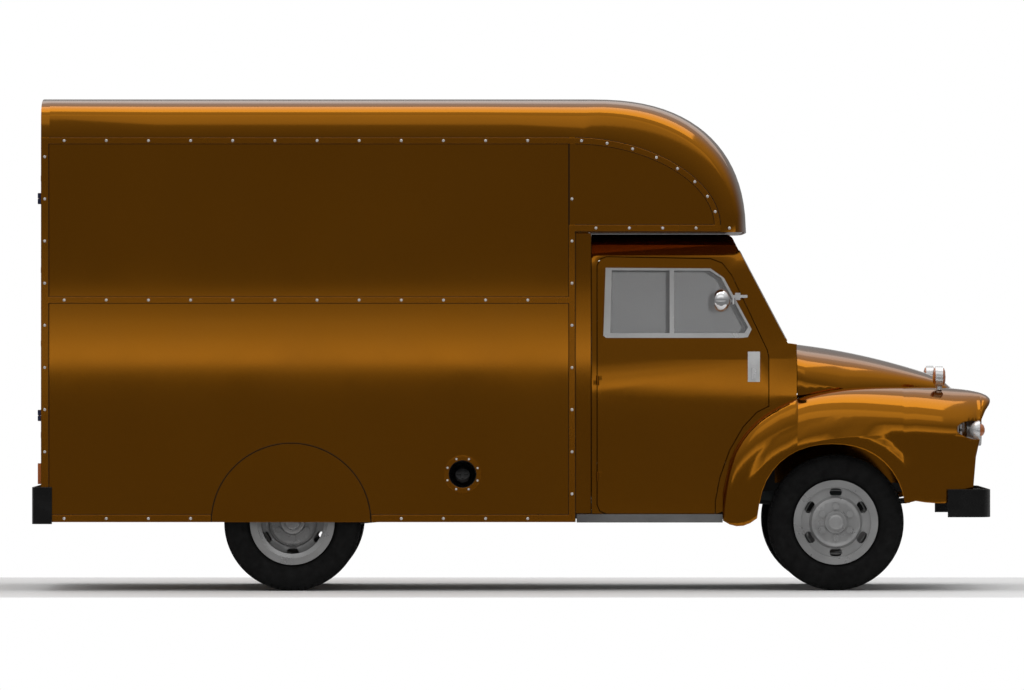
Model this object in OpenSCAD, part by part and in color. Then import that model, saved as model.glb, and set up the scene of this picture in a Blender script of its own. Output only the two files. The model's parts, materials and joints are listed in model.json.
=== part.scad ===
// Mail delivery truck: bonneted cab, box body with a nose reaching over the cab.
// Millimetres. +X is forward, +Y is the truck's left, +Z is up, the ground is Z = 0.

/* [Overall size] */
// Length over the bumpers
overall_len = 5376; // [5240:8:5520]
// Height to the crown of the box roof
overall_h = 2766; // [2700:2:2900]
// Width of the box body over its panels
box_w = 2100; // [2060:10:2160]

/* [Running gear] */
// Front axle centre to rear axle centre
wheelbase = 3050; // [2970:10:3130]
// Nose to front axle centre
front_overhang = 870; // [860:2:880]
// Tyre outside diameter
tyre_d = 765; // [751:2:771]
// Tyre section width
tyre_w = 185; // [170:1:188]
// Kingpin distance from the centre line
kingpin_y = 690; // [680:2:692]
// Leaf spring centre from the centre line
spring_y = 402; // [400:1:404]

/* [Cab] */
// Door skin thickness of the sheet
skin_t = 4; // [3:0.5:5]
// Gap around the doors and the bonnet
shut_gap = 5; // [4:0.5:7]
// Steering wheel diameter
steer_d = 430; // [380:10:460]
// Half width of the bonnet at the scuttle
bonnet_rear_w = 800; // [770:5:815]

/* [Box body] */
// Thickness of the box side panels
panel_t = 8; // [6:1:12]
// Width of the raised trim strips
trim_w = 33; // [28:1:36]
// How far the trim strips stand out
trim_t = 5; // [4:0.5:7]
// Dome screw head diameter
screw_d = 16; // [12:1:20]
// Clear height of the rear doorway
door_h = 1667; // [1560:5:1670]

/* [Hidden] */
$fn = 48;
clear = 0.05;

// Colours
brown = [0.58, 0.35, 0.06];
black = [0.06, 0.06, 0.06];
steel = [0.35, 0.36, 0.38];
grey = [0.55, 0.56, 0.57];
bright = [0.8, 0.8, 0.8];
glass_c = [0.6, 0.65, 0.68, 0.5];
orange = [0.75, 0.35, 0.1];
wood_c = [0.6, 0.45, 0.28];
seat_c = [0.2, 0.14, 0.1];

// Stations along the truck
x_nose = overall_len / 2;
x_tail = -x_nose;
x_fa = x_nose - front_overhang;
x_ra = x_fa - wheelbase;
axle_z = tyre_d / 2;
cx = x_fa - 1818;
bx0 = x_tail + 50;
bx1 = cx + 353;
box_z0 = 386;
hw = box_w / 2;
band_z = overall_h - 227;
luton_z = 2010;

// Chassis rails
rail_z0 = 550;
rail_z1 = 670;
rail_out = 432;
rail_in = 372;
rail_t = 5;
rail_x0 = bx0 + 78;
rail_x1 = x_fa + 640;

// Leaf springs
spring_w = 50;
eye_z = 520;
seat_z = axle_z + 55;
leaf_t = 9;
leaf_n = 5;
front_half = 520;
rear_half = 600;

// Wheels
wheel_front_y = kingpin_y + 139.5;
dual_gap = 30;
wheel_rear_out = 1010 - tyre_w / 2 - (2100 - box_w) / 2;
wheel_rear_in = wheel_rear_out - tyre_w - dual_gap;
rim_half = 75;
rim_r = 237;
seat_r = 205;
rim_t = 6;
front_bore = 25 + clear;
rear_bore = 30 + clear;

// Opening over the chassis in the cross walls
tunnel_y = rail_out + 3;
tunnel_z = 700;

// Floor
floor_z = 755;
hatch_hw = 455;

// Cab side section as (half width, height)
cab_yz = [[866, 400], [866, 431], [880, 600], [889, 850], [890, 1100], [882, 1300],
  [868, 1430], [846, 1800], [838, 1880], [815, 1940], [760, 1985], [600, 2001], [0, 2005]];
belt_z = 1430;
cant_z = 1800;
belt_y = 868;
cant_y = 846;
side_slope = (belt_y - cant_y) / (cant_z - belt_z);

// ---------- shared shapes ----------

module both() {
  children();
  mirror([0, 1, 0]) children();
}

// Side outline (x, z) made solid from y0 to y1
module side_prism(pts, y0, y1) {
  translate([0, y1, 0]) rotate([90, 0, 0]) linear_extrude(y1 - y0) polygon(pts);
}

// Front outline (y, z) made solid from x0 to x1
module front_prism(pts, x0, x1) {
  translate([x0, 0, 0]) rotate([90, 0, 90]) linear_extrude(x1 - x0) polygon(pts);
}

module box_at(x0, x1, y0, y1, z0, z1) {
  translate([x0, y0, z0]) cube([x1 - x0, y1 - y0, z1 - z0]);
}

// A cylinder along X, Y or Z between two planes
module rod_x(x0, x1, y, z, r) {
  translate([x0, y, z]) rotate([0, 90, 0]) cylinder(h = x1 - x0, r = r);
}
module rod_y(x, y0, y1, z, r) {
  translate([x, y1, z]) rotate([90, 0, 0]) cylinder(h = y1 - y0, r = r);
}
module rod_z(x, y, z0, z1, r) {
  translate([x, y, z0]) cylinder(h = z1 - z0, r = r);
}

// Turned shape about an axis along Y through (x, z); profile is (radius, y)
module turned_y(x, y, z) {
  translate([x, y, z]) rotate([-90, 0, 0]) rotate_extrude() children();
}

function pw(v, e) = v <= 0 ? 0 : pow(v, e);
function super(u, n) = pw(1 - pw(min(1, abs(u)), n), 1 / n);
function mix(a, b, t) = a + (b - a) * t;

// Straight lines between (x, value) pairs
function seg(p, x, i) =
  i >= len(p) - 1 ? p[len(p) - 1][1] :
  x <= p[i + 1][0] ? mix(p[i][1], p[i + 1][1],
    (x - p[i][0]) / (p[i + 1][0] - p[i][0])) : seg(p, x, i + 1);
function along(p, x) = x <= p[0][0] ? p[0][1] : seg(p, x, 0);

// Closed skin between an outer and an inner grid of points, rows by columns
module skin(outer, inner) {
  r = len(outer);
  c = len(outer[0]);
  n = r * c;
  pts = concat([for (row = outer) for (p = row) p], [for (row = inner) for (p = row) p]);
  faces = concat(
    [for (i = [0:r - 2]) for (j = [0:c - 2]) [i * c + j, i * c + j + 1, (i + 1) * c + j]],
    [for (i = [0:r - 2]) for (j = [0:c - 2])
      [i * c + j + 1, (i + 1) * c + j + 1, (i + 1) * c + j]],
    [for (i = [0:r - 2]) for (j = [0:c - 2])
      [n + i * c + j, n + (i + 1) * c + j, n + i * c + j + 1]],
    [for (i = [0:r - 2]) for (j = [0:c - 2])
      [n + i * c + j + 1, n + (i + 1) * c + j, n + (i + 1) * c + j + 1]],
    [for (i = [0:r - 2]) [i * c, (i + 1) * c, n + i * c]],
    [for (i = [0:r - 2]) [(i + 1) * c, n + (i + 1) * c, n + i * c]],
    [for (i = [0:r - 2]) [i * c + c - 1, n + i * c + c - 1, (i + 1) * c + c - 1]],
    [for (i = [0:r - 2])
      [(i + 1) * c + c - 1, n + i * c + c - 1, n + (i + 1) * c + c - 1]],
    [for (j = [0:c - 2]) [j, n + j, j + 1]],
    [for (j = [0:c - 2]) [j + 1, n + j, n + j + 1]],
    [for (j = [0:c - 2])
      [(r - 1) * c + j, (r - 1) * c + j + 1, n + (r - 1) * c + j]],
    [for (j = [0:c - 2])
      [(r - 1) * c + j + 1, n + (r - 1) * c + j + 1, n + (r - 1) * c + j]]);
  polyhedron(points = pts, faces = faces);
}

// Rounded outline helper: points on a superellipse quarter
function super_pts(cx0, cz0, a, b, n, t0, t1, k) = [for (i = [0:k])
  let (t = mix(t0, t1, i / k))
  [cx0 + a * pw(cos(t), 2 / n), cz0 + b * pw(sin(t), 2 / n)]];

// ---------- chassis ----------

module rail() {
  front_prism([[rail_in, rail_z0], [rail_out, rail_z0], [rail_out, rail_z1],
    [rail_in, rail_z1], [rail_in, rail_z1 - rail_t], [rail_out - rail_t, rail_z1 - rail_t],
    [rail_out - rail_t, rail_z0 + rail_t], [rail_in, rail_z0 + rail_t]],
    rail_x0, rail_x1);
}

module crossmember(x) {
  difference() {
    box_at(x - 30, x + 30, -rail_out + rail_t, rail_out - rail_t, 565, 655);
    box_at(x - 25, x + 31, -rail_out, rail_out, 570, 650);
  }
}

// Hanger plates and pin that carry a spring eye
module hanger(x) {
  both() {
    difference() {
      box_at(x - 26, x + 26, spring_y - 31.5, spring_y + 31.5, eye_z - 26, rail_z0);
      box_at(x - 40, x + 40, spring_y - spring_w / 2 - 1.5, spring_y + spring_w / 2 + 1.5,
        eye_z - 40, rail_z0 - 6);
    }
    rod_y(x, spring_y - 30, spring_y + 30, eye_z, 9);
  }
}

module chassis_frame() {
  color(black) union() {
    both() rail();
    for (x = [rail_x0 + 60, x_ra - 700, x_ra + 520, x_ra + 1100, cx + 570, x_fa + 502])
      crossmember(x);
    for (s = [-1, 1]) {
      hanger(x_fa + s * front_half);
      hanger(x_ra + s * rear_half);
    }
    // Outriggers that carry the cab and the steps
    both() for (x = [cx + 520, cx + 1110])
      box_at(x - 20, x + 20, rail_out - 2, 640, 600, 640);
  }
}

// ---------- springs ----------

// Height of a leaf's upper face at u from the middle, and the length of leaf k
function leaf_top(u, half, rise) = seat_z + leaf_n * leaf_t + rise * u * u / (half * half);
function leaf_half(k, half) = half * (1 - 0.17 * k);

// One stepped outline for the whole stack of leaves, with an eye at each end
module spring(x, half) {
  rise = eye_z - leaf_t / 2 - 3 - seat_z - leaf_n * leaf_t;
  lower = [for (k = [0:leaf_n - 1]) let (
      a = leaf_half(k, half), b = k < leaf_n - 1 ? leaf_half(k + 1, half) : 0)
    for (i = [0:3]) let (u = mix(a, b, i / 3))
      [u, leaf_top(u, half, rise) - (k + 1) * leaf_t]];
  right = concat([for (i = [0:8]) [i * half / 8, leaf_top(i * half / 8, half, rise)]], lower);
  outline = concat(right, [for (i = [len(right) - 2:-1:1]) [-right[i][0], right[i][1]]]);
  both() difference() {
    union() {
      side_prism([for (p = outline) [x + p[0], p[1]]],
        spring_y - spring_w / 2, spring_y + spring_w / 2);
      for (s = [-1, 1])
        rod_y(x + s * half, spring_y - spring_w / 2, spring_y + spring_w / 2, eye_z, 19);
    }
    for (s = [-1, 1])
      rod_y(x + s * half, spring_y - 40, spring_y + 40, eye_z, 12);
  }
}

module front_springs() {
  color(black) spring(x_fa, front_half);
}

module rear_springs() {
  color(black) spring(x_ra, rear_half);
}

// ---------- front axle and steering ----------

arm_x = x_fa - 170;
pin_r = 14;
track_pin_r = 8;

module front_axle() {
  color(black) difference() {
    union() {
      box_at(x_fa - 25, x_fa + 25, -600, 600, axle_z - 45, axle_z + 5);
      both() {
        box_at(x_fa - 24, x_fa + 24, 580, kingpin_y, axle_z - 34, axle_z + 34);
        rod_z(x_fa, kingpin_y, axle_z - 34, axle_z + 34, 30);
        box_at(x_fa - 50, x_fa + 50, spring_y - 32, spring_y + 32, axle_z, seat_z);
        box_at(x_fa - 45, x_fa + 45, spring_y - 45, spring_y + 45, axle_z - 57, axle_z - 44);
      }
    }
    both() rod_z(x_fa, kingpin_y, axle_z - 60, axle_z + 60, pin_r + clear);
  }
}

module knuckle() {
  yk = kingpin_y;
  union() {
    rod_z(x_fa, yk, axle_z - 60, axle_z + 60, pin_r);
    for (s = [-1, 1]) {
      rod_z(x_fa, yk, axle_z + s * 48 - 12, axle_z + s * 48 + 12, 28);
      box_at(x_fa - 28, x_fa + 28, yk, yk + 50, axle_z + s * 48 - 12, axle_z + s * 48 + 12);
    }
    box_at(x_fa - 28, x_fa + 28, yk + 33, yk + 50, axle_z - 60, axle_z + 60);
    rod_y(x_fa, yk + 49, wheel_front_y + 80, axle_z, 25);
    // Brake back plate on its spacer
    difference() {
      union() {
        rod_y(x_fa, yk + 49, yk + 56, axle_z, 62);
        rod_y(x_fa, yk + 55, yk + 59, axle_z, 145);
      }
      rod_y(x_fa, yk + 50, yk + 70, axle_z, 50);
    }
    // Steering arm to the tie rod
    box_at(arm_x, x_fa, yk - 20, yk + 20, axle_z - 60, axle_z - 48);
    rod_z(arm_x, yk, axle_z - 60, axle_z - 48, 20);
    rod_z(arm_x, yk, axle_z - 88, axle_z - 55, track_pin_r);
  }
}

module knuckle_left() {
  color(steel) knuckle();
}

module knuckle_right() {
  color(steel) mirror([0, 1, 0]) knuckle();
}

module tie_rod() {
  color(steel) difference() {
    union() {
      both() rod_z(arm_x, kingpin_y, axle_z - 85, axle_z - 61, 19);
      rod_y(arm_x, -kingpin_y + 15, kingpin_y - 15, axle_z - 73, 11);
    }
    both() rod_z(arm_x, kingpin_y, axle_z - 100, axle_z - 50, track_pin_r + clear);
  }
}

// ---------- wheels and tyres ----------

tyre_mid = (tyre_d / 2 + 227) / 2;
tyre_rh = (tyre_d / 2 - 227) / 2;

// Half section outline of the tyre as (radius, offset)
function tyre_out() = [for (i = [0:15]) let (t = -62 + i * 152 / 15)
  [tyre_mid + tyre_rh * (sin(t) < 0 ? -1 : 1) * pw(abs(sin(t)), 0.72),
   tyre_w / 2 * pw(cos(t), 0.72)]];
function tyre_in() = [for (i = [0:9]) let (t = 90 - i * 140 / 9)
  [tyre_mid + (tyre_rh - 13) * (sin(t) < 0 ? -1 : 1) * pw(abs(sin(t)), 0.8),
   (tyre_w / 2 - 12) * pw(cos(t), 0.8)]];

module tyre(x, y) {
  half_out = concat([[seat_r, rim_half - rim_t], [rim_r, rim_half - rim_t]],
    [for (p = tyre_out()) if (p[0] > rim_r + 4) p]);
  half_in = concat([for (p = tyre_in()) if (p[0] > seat_r + 22) p], [[seat_r, 54]]);
  half = concat(half_out, half_in);
  turned_y(x, y, axle_z) union() {
    polygon(half);
    polygon([for (p = half) [p[0], -p[1]]]);
  }
}

module rim_section() {
  h = rim_half;
  t = rim_t;
  polygon([[rim_r, h], [seat_r - t, h], [seat_r - t, 44], [176, 33], [176, -33],
    [seat_r - t, -44], [seat_r - t, -h], [rim_r, -h], [rim_r, t - h], [seat_r, t - h],
    [seat_r, -40], [182, -29], [182, 29], [seat_r, 40], [seat_r, h - t], [rim_r, h - t]]);
}

// Wheel disc with the raised cone ring; s turns it outward (1) or inward (-1)
module disc_section(y0, s, bore) {
  t = 6;
  polygon([for (p = [[200, 0], [150, 0], [145, 5], [140, 18], [134, 22], [124, 20],
    [118, 16], [bore, 16], [bore, 16 - t], [120, 16 - t], [127, 20 - t], [131, 20 - t],
    [138, 4 - t], [147, -t], [200, -t]]) [p[0], y0 + s * p[1]]]);
}

module hand_holes(x, y) {
  for (i = [0:5]) translate([x, y, axle_z]) rotate([0, i * 60, 0]) translate([0, 0, 169])
    union() {
      for (s = [-1, 1]) translate([s * 13, 60, 0]) rotate([90, 0, 0]) cylinder(h = 120, r = 22);
      translate([-13, -60, -22]) cube([26, 120, 44]);
    }
}

module nuts(x, y, h) {
  for (i = [0:5]) translate([x, y, axle_z]) rotate([0, i * 60, 0]) translate([0, h, 89])
    rotate([90, 0, 0]) cylinder(h = h, r = 18, $fn = 6);
}

module wheel_front() {
  y = wheel_front_y;
  union() {
    difference() {
      turned_y(x_fa, y, axle_z) union() {
        rim_section();
        disc_section(56, 1, 60);
      }
      hand_holes(x_fa, y + 56);
    }
    turned_y(x_fa, y, axle_z) polygon([[front_bore, -84], [44, -84], [44, 11], [146, 11],
      [146, -72], [152, -72], [152, 17], [66, 17], [66, 80], [60, 86], [43, 86], [43, 100],
      [36, 106], [0, 108], [0, 86], [front_bore, 86]]);
    nuts(x_fa, y + 71, 16);
  }
}

module wheel_rear() {
  yo = wheel_rear_out;
  yi = wheel_rear_in;
  ym = (yo + yi) / 2;
  union() {
    difference() {
      union() {
        turned_y(x_ra, yo, axle_z) union() {
          rim_section();
          disc_section(ym - yo + 28, -1, 60);
        }
        turned_y(x_ra, yi, axle_z) union() {
          rim_section();
          disc_section(ym - yi - 28, 1, 60);
        }
      }
      hand_holes(x_ra, ym + 28);
      hand_holes(x_ra, ym - 28);
    }
    turned_y(x_ra, ym, axle_z) polygon([[rear_bore, -95], [54, -95], [54, -45],
      [146, -45], [146, -92], [152, -92], [152, -35], [121, -35], [121, 13], [70, 13],
      [70, 66], [62, 72], [44, 72], [44, 96], [36, 102], [0, 102], [0, 64],
      [rear_bore, 64]]);
    nuts(x_ra, ym + 12, 22);
  }
}

module wheel_front_left() {
  color(grey) wheel_front();
}
module wheel_front_right() {
  color(grey) mirror([0, 1, 0]) wheel_front();
}
module wheel_rear_left() {
  color(grey) wheel_rear();
}
module wheel_rear_right() {
  color(grey) mirror([0, 1, 0]) wheel_rear();
}
module tyre_front_left() {
  color(black) tyre(x_fa, wheel_front_y);
}
module tyre_front_right() {
  color(black) mirror([0, 1, 0]) tyre(x_fa, wheel_front_y);
}
module tyre_rear_left() {
  color(black) union() {
    tyre(x_ra, wheel_rear_out);
    tyre(x_ra, wheel_rear_in);
  }
}
module tyre_rear_right() {
  color(black) mirror([0, 1, 0]) tyre_rear_left();
}

// ---------- rear axle and shaft ----------

pinion_x = x_ra + 236;
gearbox_x = cx + 960;
shaft_z = 560;

module rear_axle() {
  ym = (wheel_rear_out + wheel_rear_in) / 2;
  color(black) union() {
    both() {
      rod_y(x_ra, 0, ym - 100, axle_z, 44);
      rod_y(x_ra, ym - 101, ym + 58, axle_z, 30);
      box_at(x_ra - 60, x_ra + 60, spring_y - 32, spring_y + 32, axle_z + 10, seat_z);
      box_at(x_ra - 45, x_ra + 45, spring_y - 40, spring_y + 40, axle_z - 52, axle_z - 30);
      rod_y(x_ra, ym - 106, ym - 100, axle_z, 145);
    }
    translate([x_ra, 0, axle_z]) sphere(r = 140);
    rod_x(x_ra, pinion_x - 12, 0, axle_z, 62);
    rod_x(pinion_x - 13, pinion_x, 0, axle_z, 50);
  }
}

module propshaft() {
  x0 = pinion_x + 14;
  x1 = gearbox_x - 14;
  ang = atan2(shaft_z - axle_z, gearbox_x - pinion_x);
  len0 = (gearbox_x - pinion_x) / cos(ang);
  color(steel) translate([pinion_x, 0, axle_z]) rotate([0, 90 - ang, 0]) union() {
    translate([0, 0, 60]) cylinder(h = len0 - 120, r = 34);
    translate([0, 0, 10]) cylinder(h = 14, r = 46);
    translate([0, 0, len0 - 24]) cylinder(h = 14, r = 46);
    for (z = [24, len0 - 62]) translate([0, 0, z]) for (s = [-1, 1])
      translate([-20, s * 26 - 7, -1]) cube([40, 14, 40]);
    for (z = [42, len0 - 42]) translate([0, 0, z]) rotate([90, 0, 0])
      translate([0, 0, -40]) cylinder(h = 80, r = 12);
  }
}

// ---------- engine ----------

fan_x = x_fa + 402;
fan_z = 800;

module engine() {
  color(steel) union() {
    box_at(cx + 1580, cx + 2170, -150, 150, 640, 900);
    box_at(cx + 1600, cx + 2150, -130, 130, 900, 980);
    side_prism([[cx + 1620, 980], [cx + 2130, 980], [cx + 2110, 1030], [cx + 1640, 1030]],
      -80, 80);
    side_prism([[cx + 1600, 640], [cx + 2150, 640], [cx + 2110, 500], [cx + 1760, 490],
      [cx + 1640, 560]], -120, 120);
    rod_x(cx + 1490, cx + 1581, 0, 640, 185);
    side_prism([[cx + 1491, 682], [cx + 1491, 470], [gearbox_x + 20, 500],
      [gearbox_x + 20, 660]], -105, 105);
    rod_x(gearbox_x, gearbox_x + 21, 0, shaft_z, 50);
    rod_x(cx + 2169, cx + 2190, 0, fan_z, 40);
    rod_x(cx + 2189, fan_x + 25, 0, fan_z, 12);
    // Feet on the rails
    both() for (x = [cx + 1730, cx + 2060])
      box_at(x - 30, x + 30, 149, rail_out - 10, rail_z1, rail_z1 + 12);
    // Air cleaner and starter
    rod_x(cx + 1700, cx + 1960, 175, 1000, 55);
    box_at(cx + 1780, cx + 1820, 100, 160, 950, 990);
    rod_x(cx + 1581, cx + 1760, -190, 700, 45);
  }
}

module fan() {
  color(black) difference() {
    union() {
      rod_x(fan_x, fan_x + 24, 0, fan_z, 40);
      for (i = [0:3]) translate([fan_x + 12, 0, fan_z]) rotate([i * 90, 0, 0])
        translate([0, 0, 35]) rotate([0, 0, 28]) translate([-3, -38, 0])
          cube([6, 76, 150]);
    }
    rod_x(fan_x - 20, fan_x + 60, 0, fan_z, 12 + clear);
  }
}

module radiator() {
  x0 = x_fa + 474;
  color(black) union() {
    box_at(x0, x0 + 60, -270, 270, 655, 700);
    box_at(x0 + 8, x0 + 52, -262, 262, 700, 1030);
    box_at(x0, x0 + 60, -270, 270, 1030, 1090);
    rod_z(x0 + 30, 0, 1090, 1112, 28);
    for (i = [0:12]) box_at(x0 + 4, x0 + 8, -256, 256, 712 + i * 24, 716 + i * 24);
  }
}

module exhaust() {
  y = 250;
  z = 515;
  color(steel) union() {
    box_at(cx + 1640, cx + 2100, 150, 196, 850, 895);
    rod_z(cx + 1660, 173, z, 855, 22);
    translate([cx + 1660, 173, z]) sphere(r = 22);
    rod_y(cx + 1660, 173, y, z, 22);
    translate([cx + 1660, y, z]) sphere(r = 22);
    rod_x(bx0 + 60, cx + 1660, y, z, 22);
    rod_x(x_ra + 640, x_ra + 1040, y, 500, 58);
  }
}

// ---------- fuel ----------

fill_x = cx - 277;
fill_z = 655;
ring_r = 104;
hole_r = 80;
cap_ang = 43;
cap_y = -hw + 40;
cap_r = 40;
cap_z = fill_z - 8;

module fuel_tank() {
  color(black) union() {
      box_at(fill_x - 330, fill_x + 230, -880, -470, 440, 640);
      // Bowl let into the side panel
      translate([fill_x, -hw + panel_t, fill_z]) rotate([-90, 0, 0])
        rotate_extrude() polygon([[hole_r + 14, 0], [hole_r + 14, 3], [hole_r, 3],
          [hole_r - 12, 46], [40, 78], [0, 82], [0, 76], [37, 72], [hole_r - 18, 43],
          [hole_r - 6, 0]]);
      // Neck, square with the cap
      translate([fill_x, cap_y, cap_z]) rotate([90 - cap_ang, 0, 0])
        translate([0, 0, -90]) cylinder(h = 90, r = 32);
      rod_y(fill_x, -950, -870, 585, 26);
      // Straps up to the rail
      for (x = [fill_x - 260, fill_x + 160]) {
        box_at(x - 20, x + 20, -880, -432, 640, 648);
        box_at(x - 20, x + 20, -440, -432, 600, 648);
      }
  }
}

module fuel_cap() {
  color(steel) translate([fill_x, cap_y, cap_z]) rotate([90 - cap_ang, 0, 0])
    difference() {
      union() {
        translate([0, 0, -14]) cylinder(h = 26, r = cap_r);
        for (s = [0, 90]) rotate([0, 0, s]) translate([-8, -cap_r + 7, 11])
          cube([16, 2 * cap_r - 14, 8]);
      }
      translate([0, 0, -20]) cylinder(h = 20, r = 32 + clear);
    }
}

// ---------- cab ----------

function mirror_yz(p) = [for (i = [len(p) - 1:-1:0]) [-p[i][0], p[i][1]]];
function inset_yz(p, t) = [for (q = p)
  [q[0] <= 0 ? 0 : q[0] - t, q[1] > 1900 ? q[1] - t * (q[1] - 1900) / 105 : q[1]]];

// Region of the cab side between two depths below the skin
module side_band(d0, d1, x0, x1) {
  o = inset_yz([for (p = cab_yz) if (p[1] <= 1940) p], d0);
  i = inset_yz([for (p = cab_yz) if (p[1] <= 1940) p], d1);
  front_prism(concat(o, [for (k = [len(i) - 1:-1:0]) i[k]]), x0, x1);
}

// Cab section as a closed solid, let in by t
module cab_solid(t, x0, x1) {
  p = inset_yz(cab_yz, t);
  front_prism(concat(p, mirror_yz([for (q = p) if (q[0] > 0) q])), x0, x1);
}

door_rear = cx + 480;
door_pts = [[door_rear, 1822], [door_rear + 15, 1858], [door_rear + 50, 1872],
  [cx + 1115, 1861], [cx + 1179, 1837], [cx + 1233, 1767], [cx + 1340, 1542],
  [cx + 1431, 1349], [cx + 1440, 1306], [cx + 1440, 1036], [cx + 1374, 1003],
  [cx + 1296, 920], [cx + 1219, 787], [cx + 1164, 632], [cx + 1139, 499],
  [cx + 1139, 431], [door_rear + 50, 431], [door_rear + 15, 446], [door_rear, 481]];
win_out = [[cx + 513, 1430], [cx + 526, 1812], [cx + 1115, 1808], [cx + 1190, 1756],
  [cx + 1346, 1467], [cx + 1324, 1422], [cx + 1290, 1418], [cx + 530, 1418]];
win_in = [[cx + 552, 1445], [cx + 560, 1798], [cx + 1110, 1796], [cx + 1174, 1756],
  [cx + 1326, 1478], [cx + 1306, 1445]];
post_x = cx + 898;
cab_back = cx + 448;
front_wall = [[cx + 1330, 700], [cx + 1330, 860], [cx + 1480, 905], [cx + 1480, 1365],
  [cx + 1484, 1365], [cx + 1484, 901], [cx + 1334, 857], [cx + 1334, 700]];
screen_top = [cx + 1260, 1938];
screen_foot = [cx + 1549, 1389];
screen_len = sqrt(pow(screen_foot[0] - screen_top[0], 2)
  + pow(screen_foot[1] - screen_top[1], 2));
screen_tilt = atan2(screen_foot[0] - screen_top[0], screen_top[1] - screen_foot[1]);

// Local frame of the windscreen: x down the screen, y across, z outward
module screen_frame() {
  translate([screen_foot[0], 0, screen_foot[1]]) rotate([0, -screen_tilt, 0]) children();
}

// Outline across the screen, let in by t from the side pillars
function screen_pts(t) = [[-805 + t, 40 + t], [-790 + t, 25 + t], [790 - t, 25 + t],
  [805 - t, 40 + t], [770 - t, 545 - t], [740 - t, 575 - t], [-740 + t, 575 - t],
  [-770 + t, 545 - t]];

module door_solid(g) {
  side_prism(g == 0 ? door_pts : [for (i = [0:len(door_pts) - 1]) let (
    a = door_pts[(i + len(door_pts) - 1) % len(door_pts)], b = door_pts[i],
    c = door_pts[(i + 1) % len(door_pts)],
    u = (b - a) / norm(b - a), v = (c - b) / norm(c - b),
    m = [-u[1] - v[1], u[0] + v[0]],
    k = g / (1 + u[0] * v[0] + u[1] * v[1]))
    [b[0] + m[0] * k, b[1] + m[1] * k]], 700, 960);
}

door_pin_y = 892;
door_pin_zs = [640, 1180];

module cab_side() {
  for (z = door_pin_zs) {
    rod_z(door_rear, door_pin_y, z - 25, z - 0.3, 7);
    rod_z(door_rear, door_pin_y, z - 25, z + 22, 3.5);
    box_at(door_rear - 24, door_rear, 876, 888, z - 25, z - 0.3);
  }
  difference() {
    intersection() {
      union() {
        side_band(0, skin_t, cab_back, cx + 1599);
        difference() {
          side_band(46, 50, cab_back, cx + 1479);
          door_solid(-24);
        }
      }
      side_prism([[cab_back, 431], [cab_back, 1940], [cx + 1236, 1940], [cx + 1259, 1937],
        [cx + 1548, 1388], [cx + 1599, 1380], [cx + 1599, 1060], [cx + 1440, 980],
        [cx + 1335, 860], [cx + 1335, 500], [cx + 1150, 431]], 700, 960);
    }
    door_solid(shut_gap);
    for (z = door_pin_zs) rod_z(door_rear, door_pin_y, z - 0.3, z + 27, 10);
  }
}

module cab_shell() {
  color(brown) union() {
    both() cab_side();
    // Roof and the bend down to the header
    difference() {
      intersection() {
        cab_solid(0, cab_back, cx + 1300);
        side_prism([[cab_back, 1940], [cab_back, 2010], [cx + 1210, 2010],
          [cx + 1240, 1980], [cx + 1260, 1939], [cx + 1240, 1939]], -900, 900);
      }
      intersection() {
        cab_solid(skin_t, cab_back - 10, cx + 1300);
        side_prism([[cab_back - 10, 1900], [cab_back - 10, 2001], [cx + 1208, 2001],
          [cx + 1226, 1977], [cx + 1240, 1945], [cx + 1240, 1900]], -900, 900);
      }
    }
    // Back wall, open over the chassis
    difference() {
      intersection() {
        cab_solid(0, cab_back, cab_back + 5);
        box_at(cab_back, cab_back + 5, -900, 900, 431, 2010);
      }
      box_at(cab_back - 1, cab_back + 6, -tunnel_y, tunnel_y, 430, tunnel_z);
    }
    // Scuttle top between the screen and the bonnet
    side_prism([[cx + 1479, 1371], [cx + 1520, 1384], [cx + 1549, 1389], [cx + 1599, 1383],
      [cx + 1599, 1378], [cx + 1549, 1384], [cx + 1520, 1379], [cx + 1479, 1366]],
      -868, 868);
    // Windscreen frame
    difference() {
      intersection() {
        screen_frame() box_at(-24, 0, -900, 900, 0, screen_len);
        cab_solid(skin_t, cx + 1000, cx + 1600);
      }
      screen_frame() front_prism(screen_pts(0), -60, 60);
    }
  }
}

// Floor, sill walls, toe board and front wall
module cab_floor() {
  color(black) union() {
    difference() {
      box_at(cab_back + 5, cx + 1334, -832, 832, 700, 708);
      box_at(cx + 1080, cx + 1180, -20, 20, 690, 720);
    }
    both() box_at(cab_back + 5, cx + 1334, 640, 645, 431, 701);
    side_prism(front_wall, -832, 832);
  }
}

// ---------- inside the cab ----------

col_y = -400;
hub_x = cx + 1040;
hub_z = 1270;
col_tilt = 42;
pedal_x = cx + 1400;
pedal_z = 1050;
lever_x = cx + 1130;
brake_x = cx + 900;

// Frame of the steering column: z up the column, origin at the wheel hub
module column_frame() {
  translate([hub_x, col_y, hub_z]) rotate([0, -col_tilt, 0]) children();
}

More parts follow.
